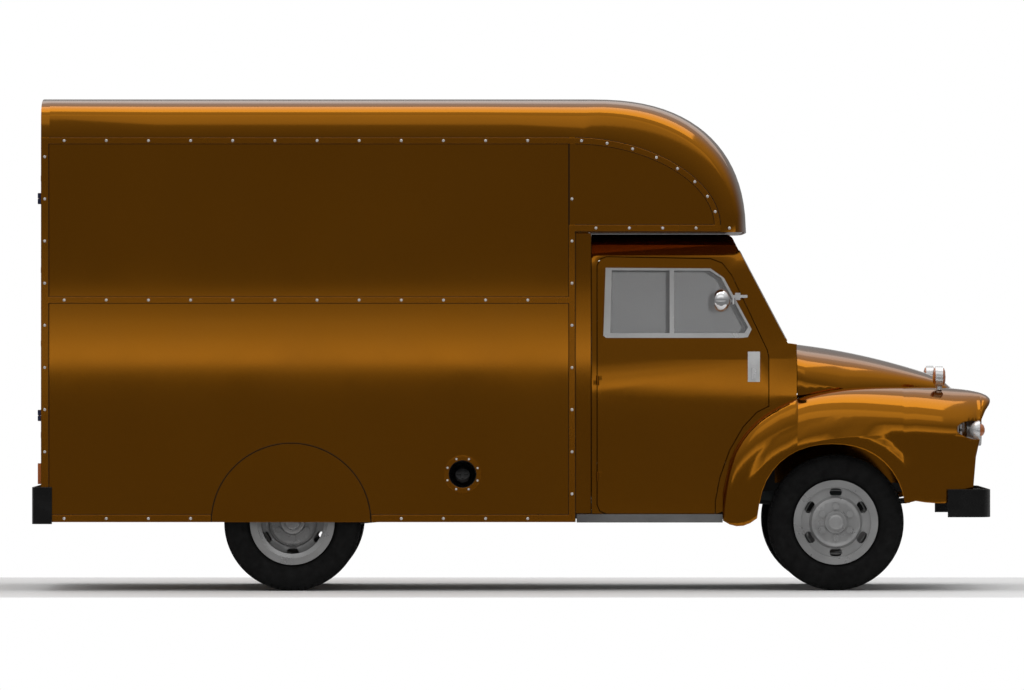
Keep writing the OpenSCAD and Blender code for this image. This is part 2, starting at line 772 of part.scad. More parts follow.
module cab_fittings() {
  color(black) union() {
    // Seat boxes
    both() difference() {
      box_at(cab_back + 60, cx + 900, 170, 640, 708, 930);
      box_at(cab_back + 66, cx + 894, 176, 634, 700, 924);
    }
    // Dash
    side_prism([[cx + 1476, 1150], [cx + 1476, 1330], [cx + 1420, 1330], [cx + 1360, 1250],
      [cx + 1360, 1170], [cx + 1380, 1150]], -800, 800);
    // Instrument pod
    side_prism([[cx + 1359, 1180], [cx + 1400, 1305], [cx + 1345, 1290], [cx + 1325, 1200]],
      -500, -300);
    // Column
    intersection() {
      column_frame() union() {
        translate([0, 0, -510]) cylinder(h = 450, r = 22);
        translate([0, 0, -62]) cylinder(h = 82, r = 12);
      }
      box_at(cx + 900, cx + 1475, -500, -300, 709, 1400);
    }
    // Pedal pivot and its brackets
    rod_y(pedal_x, -520, -330, pedal_z, 6);
    for (y = [-520, -425, -334])
      side_prism([[pedal_x - 12, pedal_z - 12], [cx + 1480, pedal_z - 12],
        [cx + 1480, 1155], [pedal_x - 12, 1155]], y, y + 4);
    // Handbrake bracket
    for (y = [-168, -138])
      box_at(brake_x - 30, brake_x + 30, y, y + 6, 708, 760);
    rod_y(brake_x, -165, -135, 740, 6);
  }
}

module seat_pads() {
  color(seat_c) union() {
    both() {
      box_at(cab_back + 70, cx + 905, 175, 635, 930, 1040);
      side_prism([[cab_back + 20, 1042], [cab_back + 110, 1042], [cab_back + 60, 1540],
        [cab_back + 8, 1540]], 185, 625);
    }
  }
}

module steering_wheel() {
  color(black) column_frame() difference() {
    union() {
      rotate_extrude() translate([steer_d / 2 - 13, 30]) circle(r = 13, $fn = 12);
      translate([0, 0, -8]) cylinder(h = 44, r = 34);
      for (a = [90, 210, 330]) rotate([0, 0, a]) translate([0, -9, 18])
        cube([steer_d / 2 - 16, 18, 8]);
    }
    translate([0, 0, -20]) cylinder(h = 42, r = 12 + clear);
  }
}

module pedal(y) {
  color(black) difference() {
    union() {
      rod_y(pedal_x, y - 8, y + 8, pedal_z, 14);
      side_prism([[pedal_x - 12, pedal_z], [pedal_x + 8, pedal_z], [cx + 1262, 852],
        [cx + 1242, 842]], y - 6, y + 6);
      side_prism([[cx + 1270, 800], [cx + 1278, 804], [cx + 1246, 864],
        [cx + 1238, 860]], y - 32, y + 32);
    }
    rod_y(pedal_x, y - 20, y + 20, pedal_z, 6 + clear);
  }
}

module clutch_pedal() {
  pedal(-470);
}

module brake_pedal() {
  pedal(-370);
}

module gear_lever() {
  color(black) union() {
    rod_y(lever_x, -12, 12, 690, 14);
    translate([lever_x, 0, 670]) cylinder(h = 220, r = 9);
    translate([lever_x, 0, 880]) rotate([0, -12, 0]) cylinder(h = 170, r = 8);
    translate([lever_x - 37, 0, 1056]) sphere(r = 24);
  }
}

module handbrake_lever() {
  color(black) difference() {
    union() {
      rod_y(brake_x, -158, -142, 740, 16);
      side_prism([[brake_x - 8, 730], [brake_x + 10, 738], [brake_x + 250, 900],
        [brake_x + 240, 914]], -154, -146);
      translate([brake_x + 230, -150, 897]) rotate([0, 56, 0]) cylinder(h = 110, r = 14);
    }
    rod_y(brake_x, -170, -130, 740, 6 + clear);
  }
}

module cab_glass() {
  color(glass_c) union() {
    screen_frame() front_prism(screen_pts(0), -16, -10);
    both() rod_x(cx + 2628, cx + 2634, head_y, head_z, 84);
  }
}

module cab_steps() {
  color(grey) union() {
    both() difference() {
      box_at(cx + 364, cx + 1150, 560, 880, 381, 428);
      box_at(cx + 370, cx + 1144, 566, 876, 380, 422);
    }
    both() box_at(cx + 1150, cx + 1183, 640, 880, 381, 428);
    both() for (x = [cx + 520, cx + 1110])
      box_at(x - 15, x + 15, 600, 638, 422, 600);
  }
}

// ---------- front end ----------

bonnet_end = cx + 2500;
nose_face = cx + 2560;
head_y = 640;
head_z = 905;
function bonnet_top(x) = let (u = x - cx - 1599)
  1383 - 0.1084 * u - 0.0001431 * u * u
  - (x > cx + 2340 ? 60 * (1 - super((x - cx - 2340) / 170, 2)) : 0);
function bonnet_w(x) = bonnet_rear_w
  - (bonnet_rear_w - 470) * pw((x - cx - 1599) / 901, 1.25);
function wing_top(x) = let (d = x - cx)
  d < 2160 ? 400 + 744 * super((2160 - d) / 981, 2.68)
  : 1062 + 82 * super((d - 2160) / 532, 2.6);
arch_x = cx + 1795;
function wing_low(x) = let (d = x - cx)
  d <= 1381 ? 361 + 0.0042 * (d - 1270) * (d - 1270) :
  d < 2209 ? max(409, 405 + 418 * super((d - 1795) / 414, 2.2)) :
  along([[2209, 522], [2271, 501], [2350, 491], [2442, 491], [2520, 520], [2589, 571],
    [2604, 749], [2626, 846], [2635, 955], [2659, 1010], [2680, 1039],
    [2688, 1056]], d);
function wing_out_y(x) = let (d = x - cx)
  d < 1500 ? 893 + 92 * super((1500 - d) / 320, 2) :
  d > 2300 ? 700 + 285 * super((d - 2300) / 395, 2.4) : 985;
function wing_in_y(x) = x < cx + 1600 ? 892 :
  x < bonnet_end ? bonnet_w(x) + shut_gap : 470 + shut_gap + (x - bonnet_end) * 0.8;
wing_xs = concat([for (i = [0:5]) cx + 1184 + i * 38],
  [for (i = [1:6]) arch_x - 413.6 * cos(i * 9)], [cx + 1599.9, cx + 1601],
  [for (i = [7:19]) arch_x - 413.6 * cos(i * 9)],
  [for (i = [1:6]) cx + 2210 + i * 54], [cx + 2566, cx + 2589, cx + 2604, cx + 2626,
  cx + 2635, cx + 2648, cx + 2660, cx + 2672, cx + 2681, cx + 2688]);

flare_w = 95;
flare_h = 11;
// Raised band round the wheel arch: how far it stands out at a point
function flare(x, z) = let (g = 416 * (pw(pw(abs(x - arch_x) / 414, 2.2)
  + pw(max(0, z - 405) / 418, 2.2), 1 / 2.2) - 1))
  g < 0 ? flare_h : g > flare_w ? 0 : flare_h * pw(1 - pw(g / flare_w, 4), 0.5);

function wing_row(x, t) = let (
  yo = wing_out_y(x) - t, yi = min(wing_in_y(x) + t, yo - 4),
  zt = wing_top(x) - t, zb = min(wing_low(x), zt - 4),
  zs = max(zb + 2, zt - 270), zi = min(zt - 2, max(zb, 1062)))
  concat([for (i = [0:8]) let (z = mix(zb, zs, i / 9))
      [x, yo - (zs - z) * 0.03 + flare(x, z), z]],
    [for (i = [0:12]) let (f = i * 90 / 12, z = zs + (zt - zs) * pw(sin(f), 0.8))
      [x, yi + (yo - yi) * pw(cos(f), 0.8) + flare(x, z) * cos(f), z]],
    x >= cx + 1600 ? [[x, yi, zi]] : [[x, yi, zt - 1]]);

function turn_row(r) = [for (k = [len(r) - 1:-1:0]) r[k]];

module wing() {
  skin([for (x = wing_xs) turn_row(wing_row(x, 0))],
    [for (x = wing_xs) turn_row(wing_row(x, 5))]);
}

// The shelf runs on this far below the wing's inner edge, beside the nose
under_wing = 25;

module front_wings() {
  color(brown) both() {
    difference() {
      wing();
      rod_x(cx + 2500, cx + 2700, lamp_y, lamp_z, 53.5);
      rod_z(ind_x, ind_y, 1050, 1200, 16.3);
    }
    // Front walls with the head lamp holes
    difference() {
      union() {
        side_prism([[cx + 2578, 560], [cx + 2584, 560], [cx + 2598, 749], [cx + 2620, 846],
          [cx + 2629, 955], [cx + 2624, 955], [cx + 2615, 846], [cx + 2593, 749]],
          nose_w + 5, 848);
        side_prism([[cx + 2624, 954], [cx + 2629, 954], [cx + 2648, 1010], [cx + 2662, 1052],
          [cx + 2657, 1052], [cx + 2643, 1010]], nose_w + 5, 826);
      }
      rod_x(cx + 2500, cx + 2700, head_y, head_z, 95.5);
    }
    // Inner panels either side of the engine bay, and the shelf out to the wing
    box_at(cx + 1486, cx + 2520, rail_out, rail_out + 5, 600, 1055);
    translate([0, 0, 1054]) linear_extrude(5) polygon(concat(
      [for (x = [cx + 1600:90:cx + 2500]) [x, bonnet_w(x) + shut_gap - 1]],
      [for (x = [bonnet_end, cx + 2655]) [x, wing_in_y(x) + under_wing]],
      [[cx + 2655, nose_w + 6], [nose_face - 7, nose_w + 6], [nose_face - 7, 468],
        [bonnet_end, 468], [bonnet_end, rail_out], [cx + 1486, rail_out], [cx + 1486, 830],
          [cx + 1600, 790]]));
  }
}

// ---------- lamps, nose, bonnet ----------

lamp_y = 905;
lamp_z = 901;
ind_x = cx + 2404;
ind_y = 720;
ind_z = 1200;

// The sides clear the wings by this much at the rear, where they swing forward, easing to none
swing_gap = 14;
swing_run = 130;

module bonnet() {
  xs = [for (i = [0:17]) cx + 1600 + shut_gap + (bonnet_end - cx - 1600 - shut_gap) * i / 17];
  function row(x, t) = let (w = bonnet_w(x) - t, zt = bonnet_top(x) - t,
    rise = swing_gap * max(0, 1 - (x - cx - 1600) / swing_run),
    zb = min(max(wing_top(x) - 2, 1082) + rise, zt - 50), zs = max(zb + 2, zt - 210))
    concat([[x, w, zb]],
      [for (i = [0:18]) let (f = i * 10)
        [x, (f > 90 ? -1 : 1) * w * pw(abs(cos(f)), 0.7),
         zs + (zt - zs) * pw(sin(f), 0.7)]],
      [[x, -w, zb]]);
  color(brown) skin([for (x = xs) turn_row(row(x, 0))],
    [for (x = xs) turn_row(row(x, skin_t))]);
}

nose_w = 515;

module nose_panel() {
  color(brown) difference() {
    union() {
      box_at(nose_face - 5, nose_face, -nose_w, nose_w, 560, 1062);
      side_prism([[bonnet_end + 5, 1124], [cx + 2535, 1114], [cx + 2553, 1090],
        [nose_face, 1061], [nose_face - 5, 1061], [cx + 2549, 1086], [cx + 2532, 1109],
        [bonnet_end + 5, 1119]], -468, 468);
      both() side_prism([[nose_face - 5, 575], [cx + 2584, 575], [cx + 2598, 749],
        [cx + 2620, 846], [cx + 2628, 950], [cx + 2600, 1058], [nose_face - 5, 1058]],
        nose_w - 1, nose_w + 4);
    }
    box_at(nose_face - 20, nose_face + 2, -300, 300, 700, 1040);
  }
}

module lamp_body(r, x) {
  translate([x, 0, 0]) rotate([0, 90, 0]) rotate_extrude() polygon(r);
}

mir_x = cx + 1240;
mir_y = 935;
mir_z = 1626;
pillar_y = belt_y - (1651 - belt_z) * side_slope;

module brightwork() {
  color(bright) union() {
    // Grille frame and bars
    difference() {
      box_at(nose_face, nose_face + 14, -320, 320, 680, 1060);
      box_at(nose_face - 1, nose_face + 15, -300, 300, 700, 1040);
    }
    for (i = [0:7]) box_at(nose_face, nose_face + 10, -305, 305, 718 + i * 42, 734 + i * 42);
    // Wing-top indicator bodies and their stalks
    both() {
      rod_x(ind_x - 21, ind_x + 21, ind_y, ind_z, 58);
      rod_z(ind_x, ind_y, wing_top(ind_x) - 14, ind_z - 50, 16);
      // Head lamp rims
      translate([0, head_y, head_z]) difference() {
        lamp_body([[0, 2560], [95, 2560], [95, 2640], [89, 2644], [0, 2644]], cx);
        lamp_body([[0, 2624], [84, 2624], [84, 2650], [0, 2650]], cx);
      }
      // Corner lamps
      translate([0, lamp_y, lamp_z]) lamp_body([[0, 2565], [14, 2568], [34, 2582],
        [48, 2600], [53, 2616], [53, 2624], [44, 2627], [0, 2627]], cx);
    }
    // Bright line round the windscreen
    screen_frame() difference() {
      front_prism(screen_pts(-12), 0, 6);
      front_prism(screen_pts(0), -1, 7);
    }
  }
}

module lamp_lenses() {
  color(orange) both() {
    for (s = [-1, 1]) translate([ind_x + s * 21, ind_y, ind_z]) rotate([0, s * 90, 0])
      rotate_extrude() polygon([[0, 0], [50, 0], [46, 8], [30, 14], [0, 16]]);
    translate([cx + 2627, lamp_y, lamp_z]) rotate([0, 90, 0])
      rotate_extrude() polygon([[0, 0], [37, 0], [36, 8], [28, 19], [12, 26], [0, 27]]);
    // Tail lamps on the rear frame
    box_at(bx0 - 19, bx0, hw - 85, hw - 25, 599, 715);
  }
}

module mirror_head() {
  color(bright) difference() {
    union() {
      translate([mir_x - 69, mir_y + 68, mir_z]) rotate_extrude()
        polygon(concat([[0, -64]], [for (i = [-8:8]) [52 * cos(i * 10), 64 * sin(i * 10)]],
          [[0, 64]]));
      rod_z(mir_x, mir_y, mir_z - 18, mir_z + 16, 13);
      translate([mir_x, mir_y, mir_z - 8]) rotate([0, 0, 135]) translate([0, -6, 0])
        cube([60, 12, 16]);
    }
    rod_z(mir_x, mir_y, mir_z - 40, mir_z + 60, 6 + clear);
    translate([mir_x - 69 - 136, 0, mir_z - 100]) cube([100, 2000, 200]);
  }
}

module mirror_left() {
  mirror_head();
}

module mirror_right() {
  mirror([0, 1, 0]) mirror_head();
}

// ---------- cab doors ----------

handle_x = cx + 1360;
handle_z = 1285;
handle_r = 8;
pane_in = 14;

module door_shell() {
  difference() {
    union() {
      difference() {
        intersection() {
          side_band(0, 44, door_rear - 1, cx + 1450);
          door_solid(0);
        }
        for (z = door_pin_zs) rod_z(door_rear, door_pin_y, z - 27, z + 0.3, 10);
      }
      for (z = door_pin_zs) {
        rod_z(door_rear, door_pin_y, z + 0.3, z + 25, 7);
        box_at(door_rear, door_rear + 24, 876, 888, z + 0.3, z + 25);
      }
    }
    for (z = door_pin_zs) rod_z(door_rear, door_pin_y, z - 30, z + 30, 3.5 + clear);
    // Hollow of the door below the window, open at the slot for the glass
    intersection() {
      side_band(skin_t, 40, door_rear, cx + 1450);
      door_solid(-12);
      box_at(door_rear, cx + 1400, 700, 960, 431, belt_z - 1);
    }
    side_prism(win_out, 700, 960);
    rod_y(handle_x, 700, 960, handle_z, handle_r + clear);
  }
}

module cab_door_left() {
  color(brown) door_shell();
}

module cab_door_right() {
  color(brown) mirror([0, 1, 0]) door_shell();
}

// Slice parallel with the upper door, between two depths below its skin
module upper_slice(d0, d1) {
  z0 = 1380;
  z1 = 1830;
  y0 = belt_y - (z0 - belt_z) * side_slope;
  y1 = belt_y - (z1 - belt_z) * side_slope;
  front_prism([[y0 - d0, z0], [y1 - d0, z1], [y1 - d1, z1], [y0 - d1, z0]],
    door_rear, cx + 1450);
}

module door_bright() {
  plate_y = along([[1100, 890], [1300, 882], [1430, 868]], handle_z);
  union() {
    intersection() {
      upper_slice(-3, 12);
      difference() {
        side_prism(win_out, 700, 960);
        side_prism(win_in, 690, 970);
      }
    }
    intersection() {
      upper_slice(-3, 12);
      box_at(post_x - 12.5, post_x + 12.5, 700, 960, 1440, 1800);
    }
    difference() {
      box_at(cx + 1324, cx + 1392, plate_y + 6, plate_y + 10, 1171, 1341);
      rod_y(handle_x, 700, 960, handle_z, handle_r + clear);
    }
    for (p = [[cx + 1332, 1180], [cx + 1384, 1180]])
      rod_y(p[0], 887.2, plate_y + 7, p[1], 4);
    // Mirror arm: foot on the door frame, cranked forward past the screen pillar
    box_at(cx + 1253, cx + 1283, pillar_y + 1, pillar_y + 9, 1631, 1671);
    box_at(cx + 1262, cx + 1322, pillar_y + 8, pillar_y + 15, 1643, 1659);
    box_at(cx + 1306, cx + 1320, pillar_y + 14, mir_y + 7, 1644, 1658);
    box_at(mir_x - 9, cx + 1314, mir_y - 7, mir_y + 7, mir_z + 18, mir_z + 32);
    rod_z(mir_x, mir_y, mir_z - 22, mir_z + 20, 6);
  }
}

module door_bright_left() {
  color(bright) door_bright();
}

module door_bright_right() {
  color(bright) mirror([0, 1, 0]) door_bright();
}

module door_pane() {
  intersection() {
    upper_slice(4, 9);
    side_prism(win_in, 700, 960);
    box_at(post_x + 12.5, cx + 1400, 700, 960, 1400, 1850);
  }
}

module door_pane_left() {
  color(glass_c) door_pane();
}

module door_pane_right() {
  color(glass_c) mirror([0, 1, 0]) door_pane();
}

module drop_glass() {
  intersection() {
    upper_slice(pane_in, pane_in + 5);
    box_at(cx + 536, post_x + 9, 700, 960, 1426, 1805);
  }
}

module drop_glass_left() {
  color(glass_c) drop_glass();
}

module drop_glass_right() {
  color(glass_c) mirror([0, 1, 0]) drop_glass();
}

module door_handle() {
  plate_y = along([[1100, 890], [1300, 882], [1430, 868]], handle_z);
  union() {
    rod_y(handle_x, plate_y - 60, plate_y + 30, handle_z, handle_r);
    rod_y(handle_x, plate_y + 12, plate_y + 30, handle_z, 16);
    box_at(handle_x - 12, handle_x + 12, plate_y + 16, plate_y + 28, 1188, handle_z + 14);
  }
}

module door_handle_left() {
  color(bright) door_handle();
}

module door_handle_right() {
  color(bright) mirror([0, 1, 0]) door_handle();
}

// ---------- box body ----------

roof_n = 5;
band_in = trim_w - 2;
strip_a = 815;
strip_b = band_z - 2050;
nose_a = 885;
nose_b = overall_h - 1966;

// Inner line of the roof skin at the side, and its outer line on the centre
function low_pt(t) = t >= 90 ? [cx + 356, band_z] :
  t <= 3 ? [cx + 356 + strip_a, luton_z] :
  [cx + 356 + strip_a * pw(cos(t), 1.053), 2050 + strip_b * pw(sin(t), 1.053)];
function high_pt(t) = let (k = t <= 3 ? asin(pow((luton_z - 1966) / nose_b, 1.225)) : t)
  [cx + 437 + nose_a * pw(cos(k), 0.816), 1966 + nose_b * pw(sin(k), 0.816)];
function roof_row(a, b, w, t) = let (o = b - a, c = norm(o), k = (c - t) / c)
  [for (i = [-12:12]) let (v = sin(i * 7.5), h = super(v, roof_n))
    [a[0] + o[0] * h * k, v * (w - t), a[1] + o[1] * h * k]];
roof_ts = [for (i = [0:22]) 90 - i * 87 / 22];

module box_roof() {
  rear_lo = [bx0 + 48, band_z];
  rear_hi = [bx0 + 48, overall_h];
  function rows(t) = concat(
    [for (i = [0:5]) let (f = i / 5, a = [mix(rear_lo[0], cx + 356, f), band_z],
      b = [mix(rear_hi[0], cx + 437, f), overall_h]) roof_row(a, b, hw, t)],
    [for (i = [1:22]) roof_row(low_pt(roof_ts[i]), high_pt(roof_ts[i]), hw, t)]);
  color(brown) skin(rows(0), rows(panel_t));
}

side_pts = concat([[bx0, box_z0], [bx1, box_z0], [bx1, luton_z],
  [cx + 356 + strip_a, luton_z]],
  [for (i = [22:-1:1]) low_pt(roof_ts[i])], [[bx0, band_z]]);

spat_a = 446;
spat_h = 441;
function spat_pts(g) = concat([[x_ra - spat_a - g, box_z0 - 1]],
  [for (i = [0:20]) let (t = 180 - i * 9)
    [x_ra - 5 + (spat_a + g) * cos(t), box_z0 + (spat_h + g) * sin(t)]],
  [[x_ra + spat_a + g, box_z0 - 1]]);

module box_sides() {
  color(brown) {
    difference() {
      both() difference() {
        side_prism([for (p = side_pts) [max(p[0], bx0 + 48), p[1]]], hw - panel_t, hw);
        side_prism(spat_pts(2), hw - 50, hw + 50);
      }
      rod_y(fill_x, -hw - 50, 0, fill_z, hole_r);
    }
    both() intersection() {
      side_prism(spat_pts(0), hw - panel_t, hw);
      box_at(x_ra - 600, x_ra + 600, 0, hw + 1, box_z0, box_z0 + 500);
    }
  }
}

module box_floor() {
  color(wood_c) union() {
    difference() {
      box_at(bx0 + 48, bx1 - 10, -hw + panel_t, hw - panel_t, 730, floor_z);
      both() box_at(x_ra - hatch_hw, x_ra + hatch_hw, 590, hw, 700, 800);
      box_at(fill_x - 100, fill_x + 100, -hw, -hw + panel_t + 88, 700, 800);
    }
    for (i = [0:7]) let (x = bx0 + 78 + i * (bx1 - bx0 - 180) / 7, near =
      abs(x + 25 - x_ra) < hatch_hw + 30)
      box_at(x, x + 50, near ? -590 : -hw + panel_t + 2, near ? 590 : hw - panel_t - 2,
        rail_z1, 731);
    both() difference() {
      box_at(x_ra - hatch_hw - 8, x_ra + hatch_hw + 8, 582, hw - panel_t, 730, 860);
      box_at(x_ra - hatch_hw, x_ra + hatch_hw, 590, hw, 700, 852);
    }
  }
}

open_w = 960;
open_z0 = 762;
open_z1 = open_z0 + door_h;
hinge_x = bx0 - 11;
hinge_y = open_w + 4;
hinge_zs = [983, 2199];

end_outline = concat([[-hw, box_z0], [hw, box_z0]],
  [for (i = [12:-1:-12]) let (v = sin(i * 7.5))
    [v * hw, band_z + (overall_h - band_z) * super(v, roof_n)]]);

module box_frame() {
  color(brown) {
    // Rear portal
    difference() {
      front_prism(end_outline, bx0, bx0 + 48);
      box_at(bx0 - 1, bx0 + 49, -open_w, open_w, open_z0, open_z1);
    }
    // Fixed halves of the rear door hinges
    both() for (z = hinge_zs) {
      box_at(bx0 - 5, bx0, hinge_y - 1, hinge_y + 46, z - 31, z - 1);
      rod_z(hinge_x, hinge_y, z - 31, z - 1, 10);
      box_at(bx0 - 6, bx0, hinge_y - 4, hinge_y + 2, z - 31, z - 1);
      rod_z(hinge_x, hinge_y, z - 31, z + 30, 5);
    }
    // Posts inside the sides
    both() for (i = [0:5]) let (x = bx0 + 230 + i * (bx1 - bx0 - 400) / 5,
      z0 = abs(x + 20 - x_ra) < hatch_hw + 40 ? 860 : floor_z)
      box_at(x, x + 40, hw - panel_t - 30, hw - panel_t, z0, band_z - 20);
  }
}

// Front wall of the box, open over the chassis, with the fillers to the cab
module box_bulkhead() {
  color(brown) union() {
    box_at(bx1 - 10, bx1, -hw + panel_t, hw - panel_t, tunnel_z, luton_z);
    both() {
      box_at(bx1 - 10, bx1, tunnel_y, hw - panel_t, box_z0 + 40, tunnel_z + 1);
      box_at(bx1 - 1, cab_back - 4, 836, 840, 431, luton_z - 4);
    }
  }
}

// Bows under the roof and the floor of the nose over the cab
module roof_bows() {
  color(brown) {
    for (i = [0:5]) let (x = bx0 + 230 + i * (bx1 - bx0 - 400) / 5)
      box_at(x, x + 40, -hw + panel_t + 30, hw - panel_t - 30, band_z - 60, band_z - 20);
    intersection() {
      translate([0, 0, luton_z]) linear_extrude(14) polygon(concat(
        [[bx1 - 10, -hw + panel_t]],
        [for (i = [-12:12]) let (v = sin(i * 7.5))
          [cx + 346 + strip_a + 141 * super(v, roof_n), v * (hw - panel_t)]],
        [[bx1 - 10, hw - panel_t]]));
      box_at(bx1 - 10, cx + 1400, -hw + panel_t, hw - panel_t, luton_z, luton_z + 14);
    }
  }
}

module box_trim() {
  y0 = hw;
  y1 = hw + trim_t;
  color(brown) {
    both() {
      box_at(bx0, cx + 353, y0, y1, band_z - trim_w, band_z);
      box_at(bx0 + 42, cx + 319, y0, y1, 1613, 1613 + trim_w);
      difference() {
        box_at(bx0 + 42, cx + 319, y0, y1, box_z0, box_z0 + 40);
        side_prism(spat_pts(8), hw - 5, hw + 50);
      }
      box_at(bx0, bx0 + 42, y0, y1, box_z0, band_z - trim_w);
      box_at(cx + 319, cx + 353, y0, y1, box_z0, 2016);
      box_at(cx + 319, cx + 356 + strip_a - 3, y0, y1, 2016, 2050);
      side_prism(concat([for (i = [0:22]) let (t = i * 90 / 22)
        [cx + 354 + (strip_a - 3) * pw(cos(t), 1.053),
          2050 + strip_b * pw(sin(t), 1.053)]],
        [for (i = [22:-1:0]) let (t = i * 90 / 22)
          [cx + 354 + (strip_a - 3 - band_in) * pw(cos(t), 1.053),
            2050 + (strip_b - trim_w) * pw(sin(t), 1.053)]]), y0, y1);
    }
    // Ring round the fuel filler
    translate([fill_x, -hw, fill_z]) rotate([90, 0, 0]) difference() {
      cylinder(h = trim_t, r = ring_r);
      translate([0, 0, -1]) cylinder(h = trim_t + 2, r = hole_r - 2);
    }
  }
}

screw_sp = 236;
top_n = floor((cx + 353 - bx0) / screw_sp);

module screw(x, z) {
  translate([x, hw + trim_t, z]) rotate([-90, 0, 0])
    cylinder(h = 4, r1 = screw_d / 2, r2 = screw_d / 4);
}

module box_screws() {
  color(brown) {
    both() {
      for (i = [0:top_n - 1]) {
        screw(bx0 + 130 + i * screw_sp, band_z - trim_w / 2);
        screw(bx0 + 130 + i * screw_sp, 1613 + trim_w / 2);
        if (abs(bx0 + 130 + i * screw_sp - x_ra) > spat_a + 40)
          screw(bx0 + 130 + i * screw_sp, box_z0 + 20);
      }
      for (i = [0:8]) {
        screw(bx0 + 21, 544 + i * screw_sp);
        if (i < 8) screw(cx + 336, 544 + i * screw_sp);
      }
      for (i = [0:4]) screw(cx + 470 + i * 187, 2033);
      for (i = [1:8]) let (t = 98 - i * 11)
        screw(cx + 354 + (strip_a - 3 - band_in / 2) * pw(cos(t), 1.053),
          2050 + (strip_b - trim_w / 2) * pw(sin(t), 1.053));
    }
    for (a = [0:7]) translate([fill_x + 91 * cos(a * 45 + 22), -hw - trim_t,
      fill_z + 91 * sin(a * 45 + 22)]) rotate([90, 0, 0]) cylinder(h = 3, r = 6);
  }
}

lock_r = 10;

module rear_door(s) {
  y0 = 2;
  y1 = open_w - 3;
  color(brown) difference() {
    union() {
      box_at(bx0 + 2, bx0 + 6, y0, y1, open_z0 + 4, open_z1 - 4);
      difference() {
        box_at(bx0 + 5, bx0 + 32, y0, y1, open_z0 + 4, open_z1 - 4);
        for (i = [0:2]) let (h = (door_h - 8) / 3)
          box_at(bx0 + 4, bx0 + 33, y0 + 50, y1 - 50, open_z0 + 44 + i * (h - 15),
            open_z0 - 16 + h + i * (h - 15));
      }
      for (z = hinge_zs) {
        box_at(bx0 - 4, bx0 + 3, y1 - 80, y1 - 6, z + 1, z + 31);
        box_at(bx0 - 8, bx0 - 2, y1 - 20, hinge_y, z + 1, z + 31);
        rod_z(hinge_x, hinge_y, z + 1, z + 31, 10);
      }
    }
    for (z = hinge_zs) rod_z(hinge_x, hinge_y, z - 40, z + 40, 5 + clear);
    if (s < 0) rod_x(bx0 - 20, bx0 + 60, 60, 1500, lock_r + clear);
  }
}

module rear_door_left() {
  rear_door(1);
}

module rear_door_right() {
  mirror([0, 1, 0]) rear_door(-1);
}

module rear_door_handle() {
  color(bright) union() {
    rod_x(bx0 - 26, bx0 + 40, -60, 1500, lock_r);
    rod_x(bx0 - 26, bx0 - 4, -60, 1500, 22);
    box_at(bx0 - 24, bx0 - 12, -72, -48, 1370, 1500);
  }
}

tail_y = hw + trim_t + 12;

module bumpers() {
  color(black) {
    // Front: beam with rounded ends and irons to the rails
    translate([0, 0, 412]) linear_extrude(156) difference() {
      polygon(concat([[cx + 2443, 985]], super_pts(cx + 2560, 780, x_nose - cx - 2560, 205, 3,
        90, 0, 10), [for (p = super_pts(cx + 2560, 780, x_nose - cx - 2560, 205, 3,
        0, 90, 10)) [p[0], -p[1]]], [[cx + 2443, -985]]));
      polygon(concat([[cx + 2430, 977]], super_pts(cx + 2560, 775, x_nose - cx - 2568, 201, 3,
        90, 0, 10), [for (p = super_pts(cx + 2560, 775, x_nose - cx - 2568, 201, 3,
        0, 90, 10)) [p[0], -p[1]]], [[cx + 2430, -977]]));
    }
    both() box_at(rail_x1, x_nose - 8, rail_in + 6, rail_out, 541, 556);
    // Rear
    translate([0, 0, 375]) linear_extrude(207) polygon([[bx0 + 62, tail_y],
      [x_tail + 26, tail_y], [x_tail + 8, tail_y - 8], [x_tail, tail_y - 28],
      [x_tail, -tail_y + 28], [x_tail + 8, -tail_y + 8], [x_tail + 26, -tail_y],
      [bx0 + 62, -tail_y], [bx0 + 62, -tail_y + 7], [x_tail + 28, -tail_y + 7],
      [x_tail + 15, -tail_y + 14], [x_tail + 8, -tail_y + 30], [x_tail + 8, tail_y - 30],
      [x_tail + 15, tail_y - 14], [x_tail + 28, tail_y - 7], [bx0 + 62, tail_y - 7]]);
    // Irons from the rear frame
    both() box_at(x_tail + 8, bx0, 380, 424, 440, 520);
  }
}

chassis_frame();
bumpers();
engine();
fan();
radiator();
exhaust();
fuel_tank();
fuel_cap();
cab_shell();
cab_floor();
cab_fittings();
seat_pads();
cab_glass();
front_wings();
nose_panel();
brightwork();
lamp_lenses();
cab_steps();
box_floor();
box_sides();
box_roof();
box_frame();
box_bulkhead();
roof_bows();
box_trim();
box_screws();
front_springs();
rear_springs();
front_axle();
knuckle_right();
knuckle_left();
tie_rod();
rear_axle();
wheel_front_right();
wheel_front_left();
wheel_rear_right();
wheel_rear_left();
tyre_front_right();
tyre_front_left();
tyre_rear_right();
tyre_rear_left();
steering_wheel();
bonnet();
cab_door_right();
cab_door_left();
door_bright_right();
door_bright_left();
door_pane_right();
door_pane_left();
drop_glass_right();
drop_glass_left();
door_handle_right();
door_handle_left();
rear_door_right();
rear_door_left();
rear_door_handle();
mirror_right();
mirror_left();
gear_lever();
handbrake_lever();
propshaft();
clutch_pedal();
brake_pedal();
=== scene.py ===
"""Looks for the mail delivery truck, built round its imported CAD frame.

Metres. +X is forward, -Y is the truck's right-hand side, which the photograph shows.
"""

import json
import math

